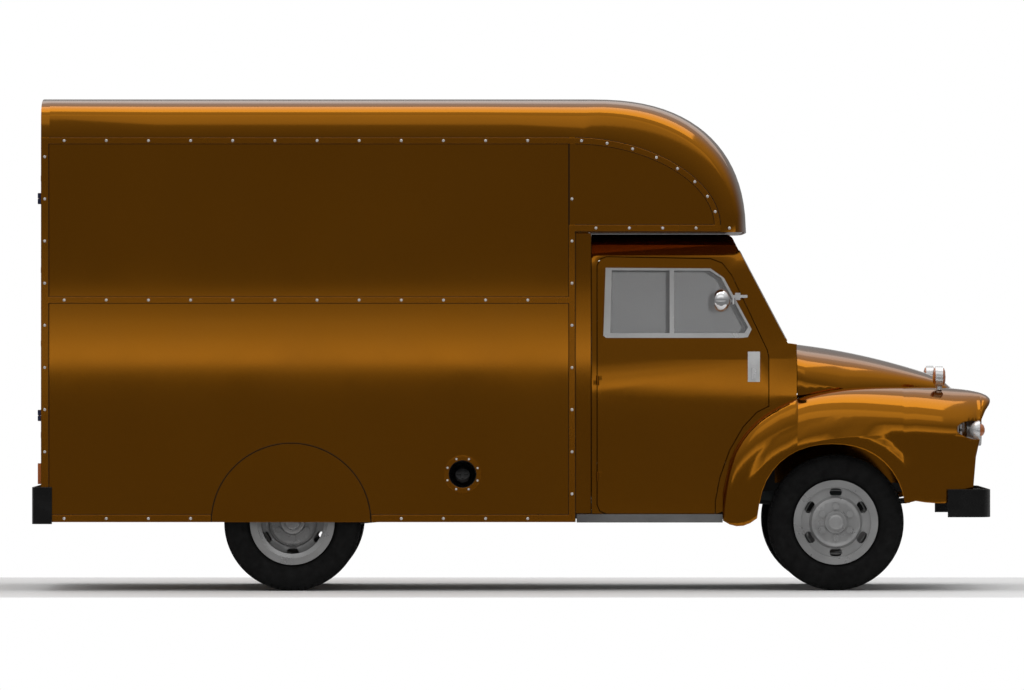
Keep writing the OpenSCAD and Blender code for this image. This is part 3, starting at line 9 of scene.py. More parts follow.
import bmesh
import bpy
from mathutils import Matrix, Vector


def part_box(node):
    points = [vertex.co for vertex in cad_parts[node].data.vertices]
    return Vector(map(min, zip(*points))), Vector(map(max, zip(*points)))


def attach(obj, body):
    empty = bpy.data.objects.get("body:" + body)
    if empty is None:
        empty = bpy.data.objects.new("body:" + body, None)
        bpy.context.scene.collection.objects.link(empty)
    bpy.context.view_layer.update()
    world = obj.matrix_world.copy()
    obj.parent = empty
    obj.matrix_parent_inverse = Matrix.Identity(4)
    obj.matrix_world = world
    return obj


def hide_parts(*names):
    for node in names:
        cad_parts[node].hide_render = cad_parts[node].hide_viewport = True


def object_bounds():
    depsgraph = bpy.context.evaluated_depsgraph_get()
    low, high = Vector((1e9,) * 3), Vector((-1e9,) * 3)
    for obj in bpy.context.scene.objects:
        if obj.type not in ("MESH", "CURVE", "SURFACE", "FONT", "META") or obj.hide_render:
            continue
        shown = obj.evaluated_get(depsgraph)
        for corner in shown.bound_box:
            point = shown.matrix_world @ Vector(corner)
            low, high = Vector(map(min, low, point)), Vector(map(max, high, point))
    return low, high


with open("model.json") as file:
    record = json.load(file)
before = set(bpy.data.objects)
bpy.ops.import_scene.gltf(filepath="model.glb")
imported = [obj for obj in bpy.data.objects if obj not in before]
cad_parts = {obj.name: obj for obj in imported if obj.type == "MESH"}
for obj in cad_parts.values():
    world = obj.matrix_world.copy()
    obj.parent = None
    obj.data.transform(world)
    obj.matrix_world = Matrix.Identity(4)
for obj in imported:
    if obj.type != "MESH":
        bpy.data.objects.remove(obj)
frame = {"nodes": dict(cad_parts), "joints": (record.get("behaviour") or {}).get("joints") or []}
cad_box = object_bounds()
nodes = frame["nodes"]

# ---------------------------------------------------------------- materials


class Tree:
    """Short helper for writing one material's nodes."""

    def __init__(self, name):
        self.material = bpy.data.materials.new(name)
        self.material.use_nodes = True
        self.nodes = self.material.node_tree.nodes
        self.links = self.material.node_tree.links
        self.shader = self.nodes["Principled BSDF"]
        self.place = self.nodes.new("ShaderNodeTexCoord").outputs["Object"]

    def set(self, **values):
        for key, value in values.items():
            self.shader.inputs[key.replace("_", " ")].default_value = value

    def noise(self, scale, detail=4.0, stretch=(1, 1, 1)):
        mapping = self.nodes.new("ShaderNodeMapping")
        mapping.inputs["Scale"].default_value = stretch
        texture = self.nodes.new("ShaderNodeTexNoise")
        texture.inputs["Scale"].default_value = scale
        texture.inputs["Detail"].default_value = detail
        self.links.new(self.place, mapping.inputs["Vector"])
        self.links.new(mapping.outputs["Vector"], texture.inputs["Vector"])
        return texture.outputs["Fac"]

    def ramp(self, fac, stops):
        node = self.nodes.new("ShaderNodeValToRGB")
        ramp = node.color_ramp
        while len(ramp.elements) < len(stops):
            ramp.elements.new(0.5)
        for element, (place, value) in zip(ramp.elements, stops):
            element.position = place
            element.color = value if len(value) == 4 else (*value, 1)
        self.links.new(fac, node.inputs["Fac"])
        return node.outputs["Color"]

    def mix(self, fac, a, b, blend="MIX"):
        node = self.nodes.new("ShaderNodeMix")
        node.data_type = "RGBA"
        node.blend_type = blend
        for socket, value in ((node.inputs[0], fac), (node.inputs[6], a), (node.inputs[7], b)):
            if isinstance(value, bpy.types.NodeSocket):
                self.links.new(value, socket)
            elif isinstance(value, (int, float)):
                socket.default_value = value
            else:
                socket.default_value = (*value, 1) if len(value) == 3 else value
        return node.outputs[2]

    def to(self, output, socket):
        self.links.new(output, self.shader.inputs[socket])

    def bump(self, height, strength, distance=0.002):
        node = self.nodes.new("ShaderNodeBump")
        node.inputs["Strength"].default_value = strength
        node.inputs["Distance"].default_value = distance
        self.links.new(height, node.inputs["Height"])
        self.links.new(node.outputs["Normal"], self.shader.inputs["Normal"])

    def edge_wear(self, radius=0.004, amount=0.5):
        """White near worn edges, from the difference between bevelled and true normals."""
        bevel = self.nodes.new("ShaderNodeBevel")
        bevel.samples = 4
        bevel.inputs["Radius"].default_value = radius
        geometry = self.nodes.new("ShaderNodeNewGeometry")
        dot = self.nodes.new("ShaderNodeVectorMath")
        dot.operation = "DOT_PRODUCT"
        self.links.new(bevel.outputs["Normal"], dot.inputs[0])
        self.links.new(geometry.outputs["Normal"], dot.inputs[1])
        return self.ramp(dot.outputs["Value"], [(0.80, (amount,) * 3), (0.97, (0, 0, 0))])


def grey(v):
    return (v, v, v)


def paint(name, deep, light, rough=(0.085, 0.125)):
    """Two-layer brown coach paint: tinted base, thin clear coat, faint orange peel."""
    t = Tree(name)
    t.set(Metallic=0.94, Coat_Weight=0.06, Coat_Roughness=0.08, Coat_IOR=1.3)
    colour = t.mix(t.ramp(t.noise(0.9, 2), [(0.2, grey(0)), (0.8, grey(1))]), deep, light)
    dust = t.ramp(t.noise(3, 8), [(0.4, grey(0)), (0.9, grey(0.05))])
    colour = t.mix(dust, colour, (0.20, 0.10, 0.03))
    t.to(t.mix(t.edge_wear(0.002, 0.30), colour, (0.36, 0.15, 0.012)), "Base Color")
    t.to(t.ramp(t.noise(2.5, 6), [(0.2, grey(rough[0])), (0.8, grey(rough[1]))]), "Roughness")
    t.bump(t.noise(90, 3), 0.015, 0.0004)
    return t.material


def enamel(name, dark, light, rough=0.35, metallic=0.0, grain=40, bump=0.08, gloss=0.35):
    """Sprayed or cast surface with scuffs and a little dust."""
    t = Tree(name)
    t.set(Metallic=metallic, Specular_IOR_Level=gloss)
    tone = t.ramp(t.noise(grain / 8, 5), [(0.3, dark), (0.72, light)])
    worn = [min(1, c * 1.9 + 0.03) for c in light]
    t.to(t.mix(t.edge_wear(0.003, 0.4), tone, worn), "Base Color")
    t.to(t.ramp(t.noise(grain / 3, 6), [(0.3, grey(rough * 0.8)), (0.75, grey(rough * 1.35))]),
         "Roughness")
    t.bump(t.noise(grain * 4, 4), bump, 0.001)
    return t.material


def plated(name, tone=0.72, rough=(0.12, 0.24)):
    t = Tree(name)
    t.set(Metallic=1.0)
    t.to(t.ramp(t.noise(7, 6), [(0.35, grey(tone * 0.86)), (0.7, (tone, tone, tone * 1.01))]),
         "Base Color")
    t.to(t.ramp(t.noise(24, 6, (1, 6, 1)), [(0.3, grey(rough[0])), (0.75, grey(rough[1]))]),
         "Roughness")
    t.bump(t.noise(180, 3), 0.02, 0.0004)
    return t.material


def rubber(name, tone=0.0035, rough=0.75):
    t = Tree(name)
    t.set(Specular_IOR_Level=0.18)
    t.to(t.ramp(t.noise(14, 6), [(0.35, grey(tone * 0.6)), (0.75, grey(tone * 1.9))]),
         "Base Color")
    t.to(t.ramp(t.noise(30, 6), [(0.3, grey(rough - 0.1)), (0.7, grey(rough + 0.12))]),
         "Roughness")
    t.bump(t.noise(320, 5), 0.15, 0.0008)
    return t.material


def glazing(name):
    t = Tree(name)
    t.set(Base_Color=(0.36, 0.365, 0.37, 1), IOR=1.45, Transmission_Weight=0.0, Alpha=0.48)
    t.to(t.ramp(t.noise(3, 5), [(0.4, grey(0.02)), (0.8, grey(0.09))]), "Roughness")
    t.bump(t.noise(2, 2), 0.01, 0.002)
    return t.material


def lens(name, tone):
    t = Tree(name)
    t.set(IOR=1.49, Coat_Weight=0.8, Coat_Roughness=0.04)
    ribs = t.nodes.new("ShaderNodeTexWave")
    ribs.inputs["Scale"].default_value = 55
    ribs.bands_direction = "Y"
    t.links.new(t.place, ribs.inputs["Vector"])
    t.to(t.mix(t.ramp(ribs.outputs["Fac"], [(0.2, grey(0)), (0.9, grey(1))]),
               [c * 0.72 for c in tone], tone), "Base Color")
    t.to(t.ramp(t.noise(40, 4), [(0.3, grey(0.12)), (0.7, grey(0.25))]), "Roughness")
    t.bump(ribs.outputs["Fac"], 0.25, 0.001)
    return t.material


def cloth(name, dark, light):
    """Ribbed seat cloth: two crossed waves under fibre noise."""
    t = Tree(name)
    t.set(Sheen_Weight=0.35, Sheen_Roughness=0.5)
    waves = []
    for axis in ("X", "Y"):
        wave = t.nodes.new("ShaderNodeTexWave")
        wave.bands_direction = axis
        wave.inputs["Scale"].default_value = 120
        wave.inputs["Distortion"].default_value = 0.6
        t.links.new(t.place, wave.inputs["Vector"])
        waves.append(wave.outputs["Fac"])
    weave = t.mix(0.5, waves[0], waves[1], "MULTIPLY")
    t.to(t.mix(t.mix(0.5, weave, t.noise(25, 6)), dark, light), "Base Color")
    t.to(t.ramp(t.noise(60, 4), [(0.3, grey(0.75)), (0.7, grey(0.95))]), "Roughness")
    t.bump(weave, 0.5, 0.001)
    return t.material


def planks(name, dark, light):
    t = Tree(name)
    grain = t.noise(18, 8, (0.12, 3.0, 3.0))
    t.to(t.ramp(grain, [(0.3, dark), (0.7, light)]), "Base Color")
    t.to(t.ramp(grain, [(0.3, grey(0.55)), (0.7, grey(0.78))]), "Roughness")
    t.bump(grain, 0.3, 0.002)
    return t.material


BROWN_DEEP = (0.285, 0.100, 0.0035)
BROWN_LIGHT = (0.315, 0.113, 0.0045)
look = {
    "brown": paint("brown_coach_paint", BROWN_DEEP, BROWN_LIGHT),
    "trim": paint("brown_trim_paint", (0.27, 0.093, 0.003), (0.30, 0.105, 0.004), (0.22, 0.30)),
    "black": enamel("black_enamel", grey(0.003), grey(0.007), 0.24, gloss=0.3),
    "chassis": enamel("chassis_black", grey(0.010), grey(0.028), 0.55),
    "iron": enamel("engine_grey", (0.05, 0.06, 0.06), (0.10, 0.11, 0.11), 0.5, 0.3),
    "bare": enamel("bare_steel", grey(0.16), grey(0.32), 0.4, 0.9),
    "wheel": enamel("wheel_grey", grey(0.30), grey(0.44), 0.30, 0.5, 30, 0.04),
    "bright": enamel("bright_frame", grey(0.62), grey(0.76), 0.22, 0.55, 30, 0.03, 0.6),
    "mirror": plated("mirror_plate", 0.80, (0.06, 0.12)),
    "screw": enamel("screw_heads", grey(0.55), grey(0.75), 0.4, 0.3),
    "tyre": rubber("tyre_rubber"),
    # near-black rubber for the lock rods, also used for the painted shade beads along the trim and
    # spat edges
    "black_rubber_and_shade_bead": rubber("black_rubber_and_painted_shade_bead", 0.0015, 0.6),
    "glass": glazing("window_glass"),
    "orange": lens("orange_lens", (0.50, 0.13, 0.015)),
    "plastic": enamel("black_moulding", grey(0.010), grey(0.022), 0.5),
    "cloth": cloth("seat_cloth", (0.05, 0.032, 0.022), (0.16, 0.11, 0.075)),
    "wood": planks("floor_planks", (0.22, 0.13, 0.06), (0.42, 0.28, 0.14)),
    "step": enamel("step_grey", grey(0.13), grey(0.19), 0.5, 0.2),
    "navy": enamel("hinge_navy", (0.010, 0.014, 0.05), (0.02, 0.028, 0.09), 0.35),
}

node_look = {
    "chassis": ["chassis_frame", "front_springs", "rear_springs", "front_axle", "rear_axle",
                "fan", "radiator", "exhaust", "fuel_cap"],
    "black": ["bumpers", "fuel_tank", "cab_floor", "clutch_pedal", "brake_pedal"],
    "iron": ["engine"],
    "bare": ["knuckle_right", "knuckle_left", "tie_rod", "propshaft"],
    "brown": ["cab_shell", "front_wings", "nose_panel", "bonnet", "box_sides", "box_roof",
              "box_frame", "box_bulkhead", "roof_bows", "cab_door_right", "cab_door_left",
              "rear_door_right", "rear_door_left"],
    "trim": ["box_trim"],
    "screw": ["box_screws"],
    "plastic": ["cab_fittings", "steering_wheel", "gear_lever", "handbrake_lever"],
    "cloth": ["seat_pads"],
    "glass": ["cab_glass", "door_pane_right", "door_pane_left", "drop_glass_right",
              "drop_glass_left"],
    "bright": ["brightwork", "door_bright_right", "door_bright_left", "door_handle_right",
               "door_handle_left", "rear_door_handle"],
    "mirror": ["mirror_right", "mirror_left"],
    "orange": ["lamp_lenses"],
    "step": ["cab_steps"],
    "wood": ["box_floor"],
    "wheel": ["wheel_front_right", "wheel_front_left", "wheel_rear_right", "wheel_rear_left"],
    "tyre": ["tyre_front_right", "tyre_front_left", "tyre_rear_right", "tyre_rear_left"],
}
SHELLS = ("front_wings", "bonnet", "box_roof")
for key, names in node_look.items():
    for name in names:
        obj = nodes[name]
        obj.data.materials.clear()
        obj.data.materials.append(look[key])
        obj.data.shade_smooth()
        if obj.data.has_custom_normals:
            with bpy.context.temp_override(object=obj, active_object=obj):
                obj.data.attributes.remove(obj.data.attributes["custom_normal"])
        weld = obj.modifiers.new("weld", "WELD")
        weld.merge_threshold = 0.00002
        if name not in SHELLS and key not in ("glass", "tyre"):
            bevel = obj.modifiers.new("edge_round", "BEVEL")
            bevel.width = 0.0015
            bevel.segments = 2
            bevel.limit_method = "ANGLE"
            bevel.angle_limit = math.radians(40)
            bevel.harden_normals = True
            bevel.use_clamp_overlap = True
        normal = obj.modifiers.new("normals", "WEIGHTED_NORMAL")
        normal.keep_sharp = True

# ---------------------------------------------------------------- added pieces


def piece(name, mesh_data, material, body, smooth=35, replaces=()):
    """Makes an object from a bmesh, gives it its look and lets it ride on a CAD body."""
    mesh = bpy.data.meshes.new(name)
    bmesh.ops.recalc_face_normals(mesh_data, faces=mesh_data.faces)
    mesh_data.to_mesh(mesh)
    mesh_data.free()
    mesh.materials.append(material)
    mesh.shade_smooth()
    mesh.set_sharp_from_angle(angle=math.radians(smooth))
    obj = bpy.data.objects.new(name, mesh)
    bpy.context.scene.collection.objects.link(obj)
    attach(obj, body)
    if replaces:
        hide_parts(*replaces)
    return obj


def joint_place(name):
    return Vector(next(j["pos_m"] for j in frame["joints"] if j["name"] == name))


def lathe_y(bm, section, centre, count, shape=None):
    """Turns a closed (radius, offset) section about an axis along Y."""
    rings = []
    for k in range(count):
        a = 2 * math.pi * k / count
        ring = []
        for i, (r, y) in enumerate(section):
            if shape:
                r, y = shape(r, y, a)
            ring.append(bm.verts.new((centre[0] + r * math.sin(a), centre[1] + y,
                                      centre[2] + r * math.cos(a))))
        rings.append(ring)
    for k in range(count):
        a, b = rings[k], rings[(k + 1) % count]
        for i in range(len(section)):
            j = (i + 1) % len(section)
            bm.faces.new((a[i], a[j], b[j], b[i]))


def tyre_section(radius, half_width, bead=0.206, flange=0.238):
    """Closed section: bead, bulged sidewall, square shoulder, flat tread, and the inside."""
    mid, half = (radius + flange) / 2, (radius - flange) / 2
    outer = [(bead, half_width * 0.735), (flange, half_width * 0.74)]
    for i in range(1, 15):
        t = math.radians(-78 + i * 9.4)
        s = math.sin(t)
        outer.append((mid + half * math.copysign(abs(s) ** 0.85, s),
                      half_width * abs(math.cos(t)) ** 0.42))
    tread_edge = half_width * 0.80
    outer = [p for p in outer if p[0] < radius - 0.009 or p[1] > tread_edge]
    tread = [(radius - 0.006 * (y / tread_edge) ** 4, y)
             for y in [tread_edge * (1 - 2 * i / 44) for i in range(45)]]
    narrow, broad = half_width * 0.6, half_width * 0.86
    inner = [(bead, -narrow), (mid, -broad), (radius - 0.020, -narrow), (radius - 0.016, 0),
             (radius - 0.020, narrow), (mid, broad), (bead, narrow)]
    return outer + tread + [(r, -y) for r, y in reversed(outer)] + inner


def tread_cut(radius, half_width):
    """Zigzag grooves round the tread and short slots in the shoulders."""
    def shape(r, y, a):
        if r > radius - 0.0125 and abs(y) < half_width * 0.84:
            zig = 0.0045 * (2 * abs(((a * 45 / math.pi) % 2) - 1) - 1)
            for groove in (-0.55, -0.18, 0.18, 0.55):
                if abs(y - groove * half_width * 0.8 - zig) < 0.0036:
                    return r - 0.009, y
            if abs(y) > half_width * 0.66 and (a * 60 / math.pi) % 2 < 0.45:
                return r - 0.008, y
        elif r < radius - 0.0125:
            for ridge in (0.262, 0.345):
                if abs(r - ridge) < 0.004:
                    return r, y * 1.006
        return r, y
    return shape


TWIN_GAP = 0.030


def tyres():
    for end in ("front", "rear"):
        for side in ("right", "left"):
            node = "tyre_%s_%s" % (end, side)
            body = "%s_%s_wheel" % (end, side)
            low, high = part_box(node)
            radius = (high.z - low.z) / 2
            hub = Vector(((low.x + high.x) / 2, 0, (low.z + high.z) / 2))
            width = high.y - low.y
            if end == "rear":
                one = (width - TWIN_GAP) / 2
                centres = [low.y + one / 2, high.y - one / 2]
            else:
                one = width
                centres = [(low.y + high.y) / 2]
            bm = bmesh.new()
            for y in centres:
                lathe_y(bm, tyre_section(radius, one / 2), (hub.x, y, hub.z), 360,
                        tread_cut(radius, one / 2))
            piece(node + "_tread", bm, look["tyre"], body, 30, (node,))


tyres()


SWELL_CAP = 0.014


def puffed(name, corners, body, channels, replaces, along="Y"):
    """A cushion from eight corners: sewn channels, crowned faces, then a short cloth swell."""
    bm = bmesh.new()
    verts = [bm.verts.new(c) for c in corners]
    for f in ((0, 1, 2, 3), (7, 6, 5, 4), (0, 4, 5, 1), (1, 5, 6, 2), (2, 6, 7, 3), (3, 7, 4, 0)):
        bm.faces.new([verts[i] for i in f])
    centre = sum((v.co for v in bm.verts), Vector()) / 8
    for v in bm.verts:
        v.co = centre + (v.co - centre) * 0.955
    bmesh.ops.recalc_face_normals(bm, faces=bm.faces)
    mesh = bpy.data.meshes.new(name)
    bm.to_mesh(mesh)
    bm.free()
    obj = bpy.data.objects.new(name, mesh)
    bpy.context.scene.collection.objects.link(obj)
    bpy.context.view_layer.objects.active = obj
    with bpy.context.temp_override(object=obj, active_object=obj, selected_objects=[obj]):
        corner = obj.modifiers.new("corner", "BEVEL")
        corner.width = 0.018
        corner.segments = 3
        bpy.ops.object.modifier_apply(modifier="corner")
        cells = obj.modifiers.new("cells", "REMESH")
        cells.mode = "VOXEL"
        cells.voxel_size = 0.012
        bpy.ops.object.modifier_apply(modifier="cells")
    start = [v.co.copy() for v in obj.data.vertices]
    cloth = obj.modifiers.new("cloth", "CLOTH")
    cloth.settings.use_pressure = True
    cloth.settings.uniform_pressure_force = 4
    cloth.settings.effector_weights.gravity = 0
    scene = bpy.context.scene
    for step in range(1, 21):
        scene.frame_set(step)
    shaped = obj.evaluated_get(bpy.context.evaluated_depsgraph_get()).to_mesh()
    moved = [v.co.copy() for v in shaped.vertices]
    obj.modifiers.remove(cloth)
    scene.frame_set(1)
    for v, a, b in zip(obj.data.vertices, start, moved):
        push = b - a
        if push.length > SWELL_CAP:
            push *= SWELL_CAP / push.length
        v.co = a + push
    low = Vector([min(v.co[i] for v in obj.data.vertices) for i in range(3)])
    high = Vector([max(v.co[i] for v in obj.data.vertices) for i in range(3)])
    axis = 1 if along == "Y" else 0
    for v in obj.data.vertices:
        u = (v.co[axis] - low[axis]) / (high[axis] - low[axis]) * channels
        dip = 0.007 * math.exp(-((u - round(u)) * 9) ** 2) if 0.4 < u < channels - 0.4 else 0
        v.co = v.co + (centre - v.co).normalized() * dip
    smooth = obj.modifiers.new("round", "SUBSURF")
    smooth.levels = smooth.render_levels = 1
    obj.data.shade_smooth()
    obj.data.materials.clear()
    obj.data.materials.append(look["cloth"])
    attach(obj, body)
    if replaces:
        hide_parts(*replaces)
    return obj


CUSHION_HEIGHT = 0.110


def seats():
    low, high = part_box("seat_pads")
    top = low.z + CUSHION_HEIGHT
    for side in (-1, 1):
        y0, y1 = sorted((side * 0.177, side * 0.633))
        z0, z1 = low.z + 0.002, top - 0.002
        x0, x1 = low.x + 0.064, high.x - 0.002
        puffed("seat_cushion_%s" % ("right" if side < 0 else "left"),
               [(x0, y0, z0), (x1, y0, z0), (x1, y1, z0), (x0, y1, z0),
                (x0, y0, z1), (x1, y0, z1), (x1, y1, z1), (x0, y1, z1)],
               "truck", 6, ("seat_pads",) if side < 0 else ())
        y0, y1 = sorted((side * 0.187, side * 0.623))
        b0, b1 = low.x + 0.014, low.x + 0.100
        t0, t1 = low.x + 0.002, low.x + 0.050
        z0, z1 = top + 0.004, high.z - 0.002
        puffed("seat_back_%s" % ("right" if side < 0 else "left"),
               [(b0, y0, z0), (b1, y0, z0), (b1, y1, z0), (b0, y1, z0),
                (t0, y0, z1), (t1, y0, z1), (t1, y1, z1), (t0, y1, z1)],
               "truck", 6, ())


seats()


def tube(bm, points, radius, closed=True, sides=8):
    """A bead of round section along a line of points."""
    points = [Vector(p) for p in points]
    count = len(points)
    rings = []
    for i, p in enumerate(points):
        before = points[(i - 1) % count] if closed or i > 0 else p
        after = points[(i + 1) % count] if closed or i < count - 1 else p
        ahead = (after - before).normalized()
        up = Vector((0, 1, 0)) if abs(ahead.y) < 0.9 else Vector((1, 0, 0))
        across = ahead.cross(up).normalized()
        up = across.cross(ahead).normalized()
        ring = []
        for k in range(sides):
            a = 2 * math.pi * k / sides
            off = (across * math.cos(a) + up * math.sin(a)) * radius
            ring.append(bm.verts.new(p + off))
        rings.append(ring)
    for i in range(count if closed else count - 1):
        a, b = rings[i], rings[(i + 1) % count]
        for k in range(sides):
            bm.faces.new((a[k], a[(k + 1) % sides], b[(k + 1) % sides], b[k]))
    if not closed:
        bm.faces.new(rings[0])
        bm.faces.new(list(reversed(rings[-1])))


def rounded_block(bm, low, high, radius, segments=3):
    """A block with rounded edges, made in place."""
    made = bmesh.ops.create_cube(bm, size=1.0)["verts"]
    size = Vector(high) - Vector(low)
    centre = (Vector(high) + Vector(low)) / 2
    for v in made:
        v.co = centre + Vector([c * d for c, d in zip(v.co, size)])
    edges = {e for v in made for e in v.link_edges}
    bmesh.ops.bevel(bm, geom=list(edges), offset=radius, segments=segments, profile=0.7,
                    affect="EDGES")


def densify(points, step=0.05, closed=True):
    out = []
    count = len(points)
    for i in range(count if closed else count - 1):
        a, b = Vector(points[i]), Vector(points[(i + 1) % count])
        cuts = max(1, int((b - a).length / step))
        out += [a.lerp(b, k / cuts) for k in range(cuts)]
    if not closed:
        out.append(Vector(points[-1]))
    return out


trim_low, trim_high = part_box("box_trim")
STRIP = 0.033
front_x = trim_high.x - 0.815
panel_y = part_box("box_sides")[1].y
BEAD = 0.0034


def painted_shade_beads():
    """Painted shade lines: near-black beads along the trim strip edges and round the spats, where
    they meet the panels.
    """
    axle_x = joint_place("rear_left_wheel_spin").x
    for side, word in ((-1, "right"), (1, "left")):
        bm = bmesh.new()
        top, low = trim_high.z, trim_low.z
        left, right = trim_low.x + 0.042, front_x - 0.034
        spat = [(axle_x - 0.005 + 0.447 * math.cos(math.radians(a)), side * (panel_y - 0.0006),
                 low + 0.442 * math.sin(math.radians(a))) for a in range(0, 181, 4)]
        for z in (top, top - STRIP, 1.613 + STRIP, 1.613):
            tube(bm, densify([(left, side * panel_y, z), (right, side * panel_y, z)], 0.3, False),
                 BEAD, False)
        for x in (left, right, front_x):
            tube(bm, densify([(x, side * panel_y, low), (x, side * panel_y,
                 top - STRIP if x < front_x else 2.016)], 0.3, False), BEAD, False)
        for a, b in ((left, axle_x - 0.452), (axle_x + 0.442, right)):
            tube(bm, densify([(a, side * panel_y, low + 0.040), (b, side * panel_y, low + 0.040)],
                 0.3, False), BEAD, False)
        for z in (2.016, 2.050):
            tube(bm, densify([(front_x, side * panel_y, z),
                 (trim_high.x - (0 if z < 2.03 else 0.031), side * panel_y, z)], 0.3, False),
                 BEAD, False)
        for inset_a, inset_b in ((0, 0), (0.031, STRIP)):
            curve = []
            for i in range(0, 31):
                t = math.radians(90 * i / 30)
                curve.append((front_x + 0.001 + (0.812 - inset_a) * max(0, math.cos(t)) ** 1.053,
                              side * panel_y,
                              2.050 + (top - 2.050 - inset_b) * math.sin(t) ** 1.053))
            tube(bm, curve, BEAD, False)
        tube(bm, spat, BEAD * 0.9, False)
        # near-black beads that paint the shade lines along the trim and spat edges
        piece("panel_painted_shade_bead_" + word, bm, look["black_rubber_and_shade_bead"], "truck", 60)


painted_shade_beads()


HINGE_HEIGHTS = (0.983, 2.199)


def hinges():
    """Navy covers on the rear door hinges."""
    for side, word in ((-1, "right"), (1, "left")):
        pin = joint_place(word + "_rear_door_swing")
        for z in HINGE_HEIGHTS:
            fixed = bmesh.new()
            rounded_block(fixed, (pin.x - 0.0105, pin.y - 0.0105, z - 0.0315),
                          (pin.x + 0.0105, pin.y + 0.0105, z - 0.0005), 0.006)
            y0, y1 = sorted((pin.y + side * 0.004, pin.y + side * 0.048))
            rounded_block(fixed, (pin.x + 0.002, y0, z - 0.0315), (pin.x + 0.0095, y1, z - 0.0005),
                          0.002)
            piece("hinge_leaf_%s_%d" % (word, z * 1000), fixed, look["navy"], "truck")
            moving = bmesh.new()
            rounded_block(moving, (pin.x - 0.0105, pin.y - 0.0105, z + 0.0005),
                          (pin.x + 0.0105, pin.y + 0.0105, z + 0.0315), 0.006)
            y0, y1 = sorted((pin.y - side * 0.012, pin.y - side * 0.092))
            rounded_block(moving, (pin.x + 0.001, y0, z + 0.0005), (pin.x + 0.0075, y1, z + 0.0315),
                          0.002)
            piece("hinge_strap_%s_%d" % (word, z * 1000), moving, look["navy"],
                  word + "_rear_door")


hinges()


def plates():
    """Blank number plates with a raised rim, front and rear."""
    back, front = [corner.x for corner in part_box("bumpers")]
    for word, x, z, face in (("front", front, 0.49, 1), ("rear", back, 0.445, -1)):
        bm = bmesh.new()
        x0, x1 = sorted((x - face * 0.001, x - face * 0.007))
        rounded_block(bm, (x0, -0.26, z - 0.055), (x1, 0.26, z + 0.055), 0.0025)
        rim = [(x - face * 0.001, y * 0.252, z + w * 0.047) for y, w in
               ((-1, -1), (1, -1), (1, 1), (-1, 1))]
        tube(bm, densify(rim, 0.1), 0.003)
        piece("blank_plate_" + word, bm, look["plastic"], "truck")


plates()


cab_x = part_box("cab_glass")[1].x - 2.634


HEAD_LAMP_Y = 0.640
HEAD_LAMP_Z = 0.905


def lathe_x(bm, section, centre, count):
    """Turns a closed (radius, offset) section about an axis along X."""
    rings = []
    for k in range(count):
        a = 2 * math.pi * k / count
        rings.append([bm.verts.new((centre[0] + x, centre[1] + r * math.cos(a),
                                    centre[2] + r * math.sin(a))) for r, x in section])
    for k in range(count):
        a, b = rings[k], rings[(k + 1) % count]
        for i in range(len(section)):
            j = (i + 1) % len(section)
            bm.faces.new((a[i], a[j], b[j], b[i]))


def reflectors():
    """Polished bowls with small bulbs behind the head lamp glasses."""
    for side, word in ((-1, "right"), (1, "left")):
        centre = (cab_x + 2.622, side * HEAD_LAMP_Y, HEAD_LAMP_Z)
        bowl = [(0.016 + 0.064 * math.sqrt(i / 14), -0.060 * (1 - i / 14)) for i in range(15)]
        bm = bmesh.new()
        lathe_x(bm, bowl + [(r + 0.0015, x - 0.0012) for r, x in reversed(bowl)], centre, 56)
        piece("head_reflector_" + word, bm, look["mirror"], "truck", 50)
        bm = bmesh.new()
        bulb = [(0.0015 + 0.0095 * math.sin(math.radians(a)), -0.034 + 0.013 *
                 math.cos(math.radians(a))) for a in range(2, 150, 12)]
        lathe_x(bm, bulb + [(0.0075, -0.060), (0.001, -0.060)], centre, 24)
        piece("head_bulb_" + word, bm, look["glass"], "truck", 50)


reflectors()


def dials():
    """Two blank dials with bezels and a needle each on the instrument pod."""
    foot = Vector((cab_x + 1.325, 0, 1.200))
    crown = Vector((cab_x + 1.345, 0, 1.290))
    up = (crown - foot).normalized()
    out = Vector((-up.z, 0, up.x))
    for k, y in enumerate((-0.448, -0.352)):
        centre = (foot + crown) / 2 + Vector((0, y, 0)) + out * 0.0008
        bezel = bmesh.new()
        ring = [centre + out * 0.003 + 0.0375 * (Vector((0, 1, 0)) * math.cos(math.radians(a)) +
                up * math.sin(math.radians(a))) for a in range(0, 360, 8)]
        tube(bezel, ring, 0.0028)
        piece("dial_bezel_%d" % k, bezel, look["bright"], "truck", 60)
        face = bmesh.new()
        rows = []
        for r, lift in ((0.0362, 0.0), (0.0362, 0.002), (0.030, 0.0024), (0.020, 0.0022),
                        (0.006, 0.0022), (0.005, 0.0046), (0.0004, 0.005)):
            rows.append([face.verts.new(centre + out * lift + r * (Vector((0, 1, 0)) *
                         math.cos(math.radians(a)) + up * math.sin(math.radians(a))))
                         for a in range(0, 360, 10)])
        for a, b in zip(rows, rows[1:]):
            for i in range(len(a)):
                j = (i + 1) % len(a)
                face.faces.new((a[i], a[j], b[j], b[i]))
        face.faces.new(rows[0])
        face.faces.new(rows[-1][::-1])
        piece("dial_face_%d" % k, face, look["plastic"], "truck", 40)
        hand = bmesh.new()
        lean = Vector((0, 0.5, 0)) + up * 0.85
        tube(hand, [centre + out * 0.004 - lean * 0.006, centre + out * 0.004 + lean * 0.027],
             0.0009, False)
        piece("dial_hand_%d" % k, hand, look["screw"], "truck", 60)


dials()


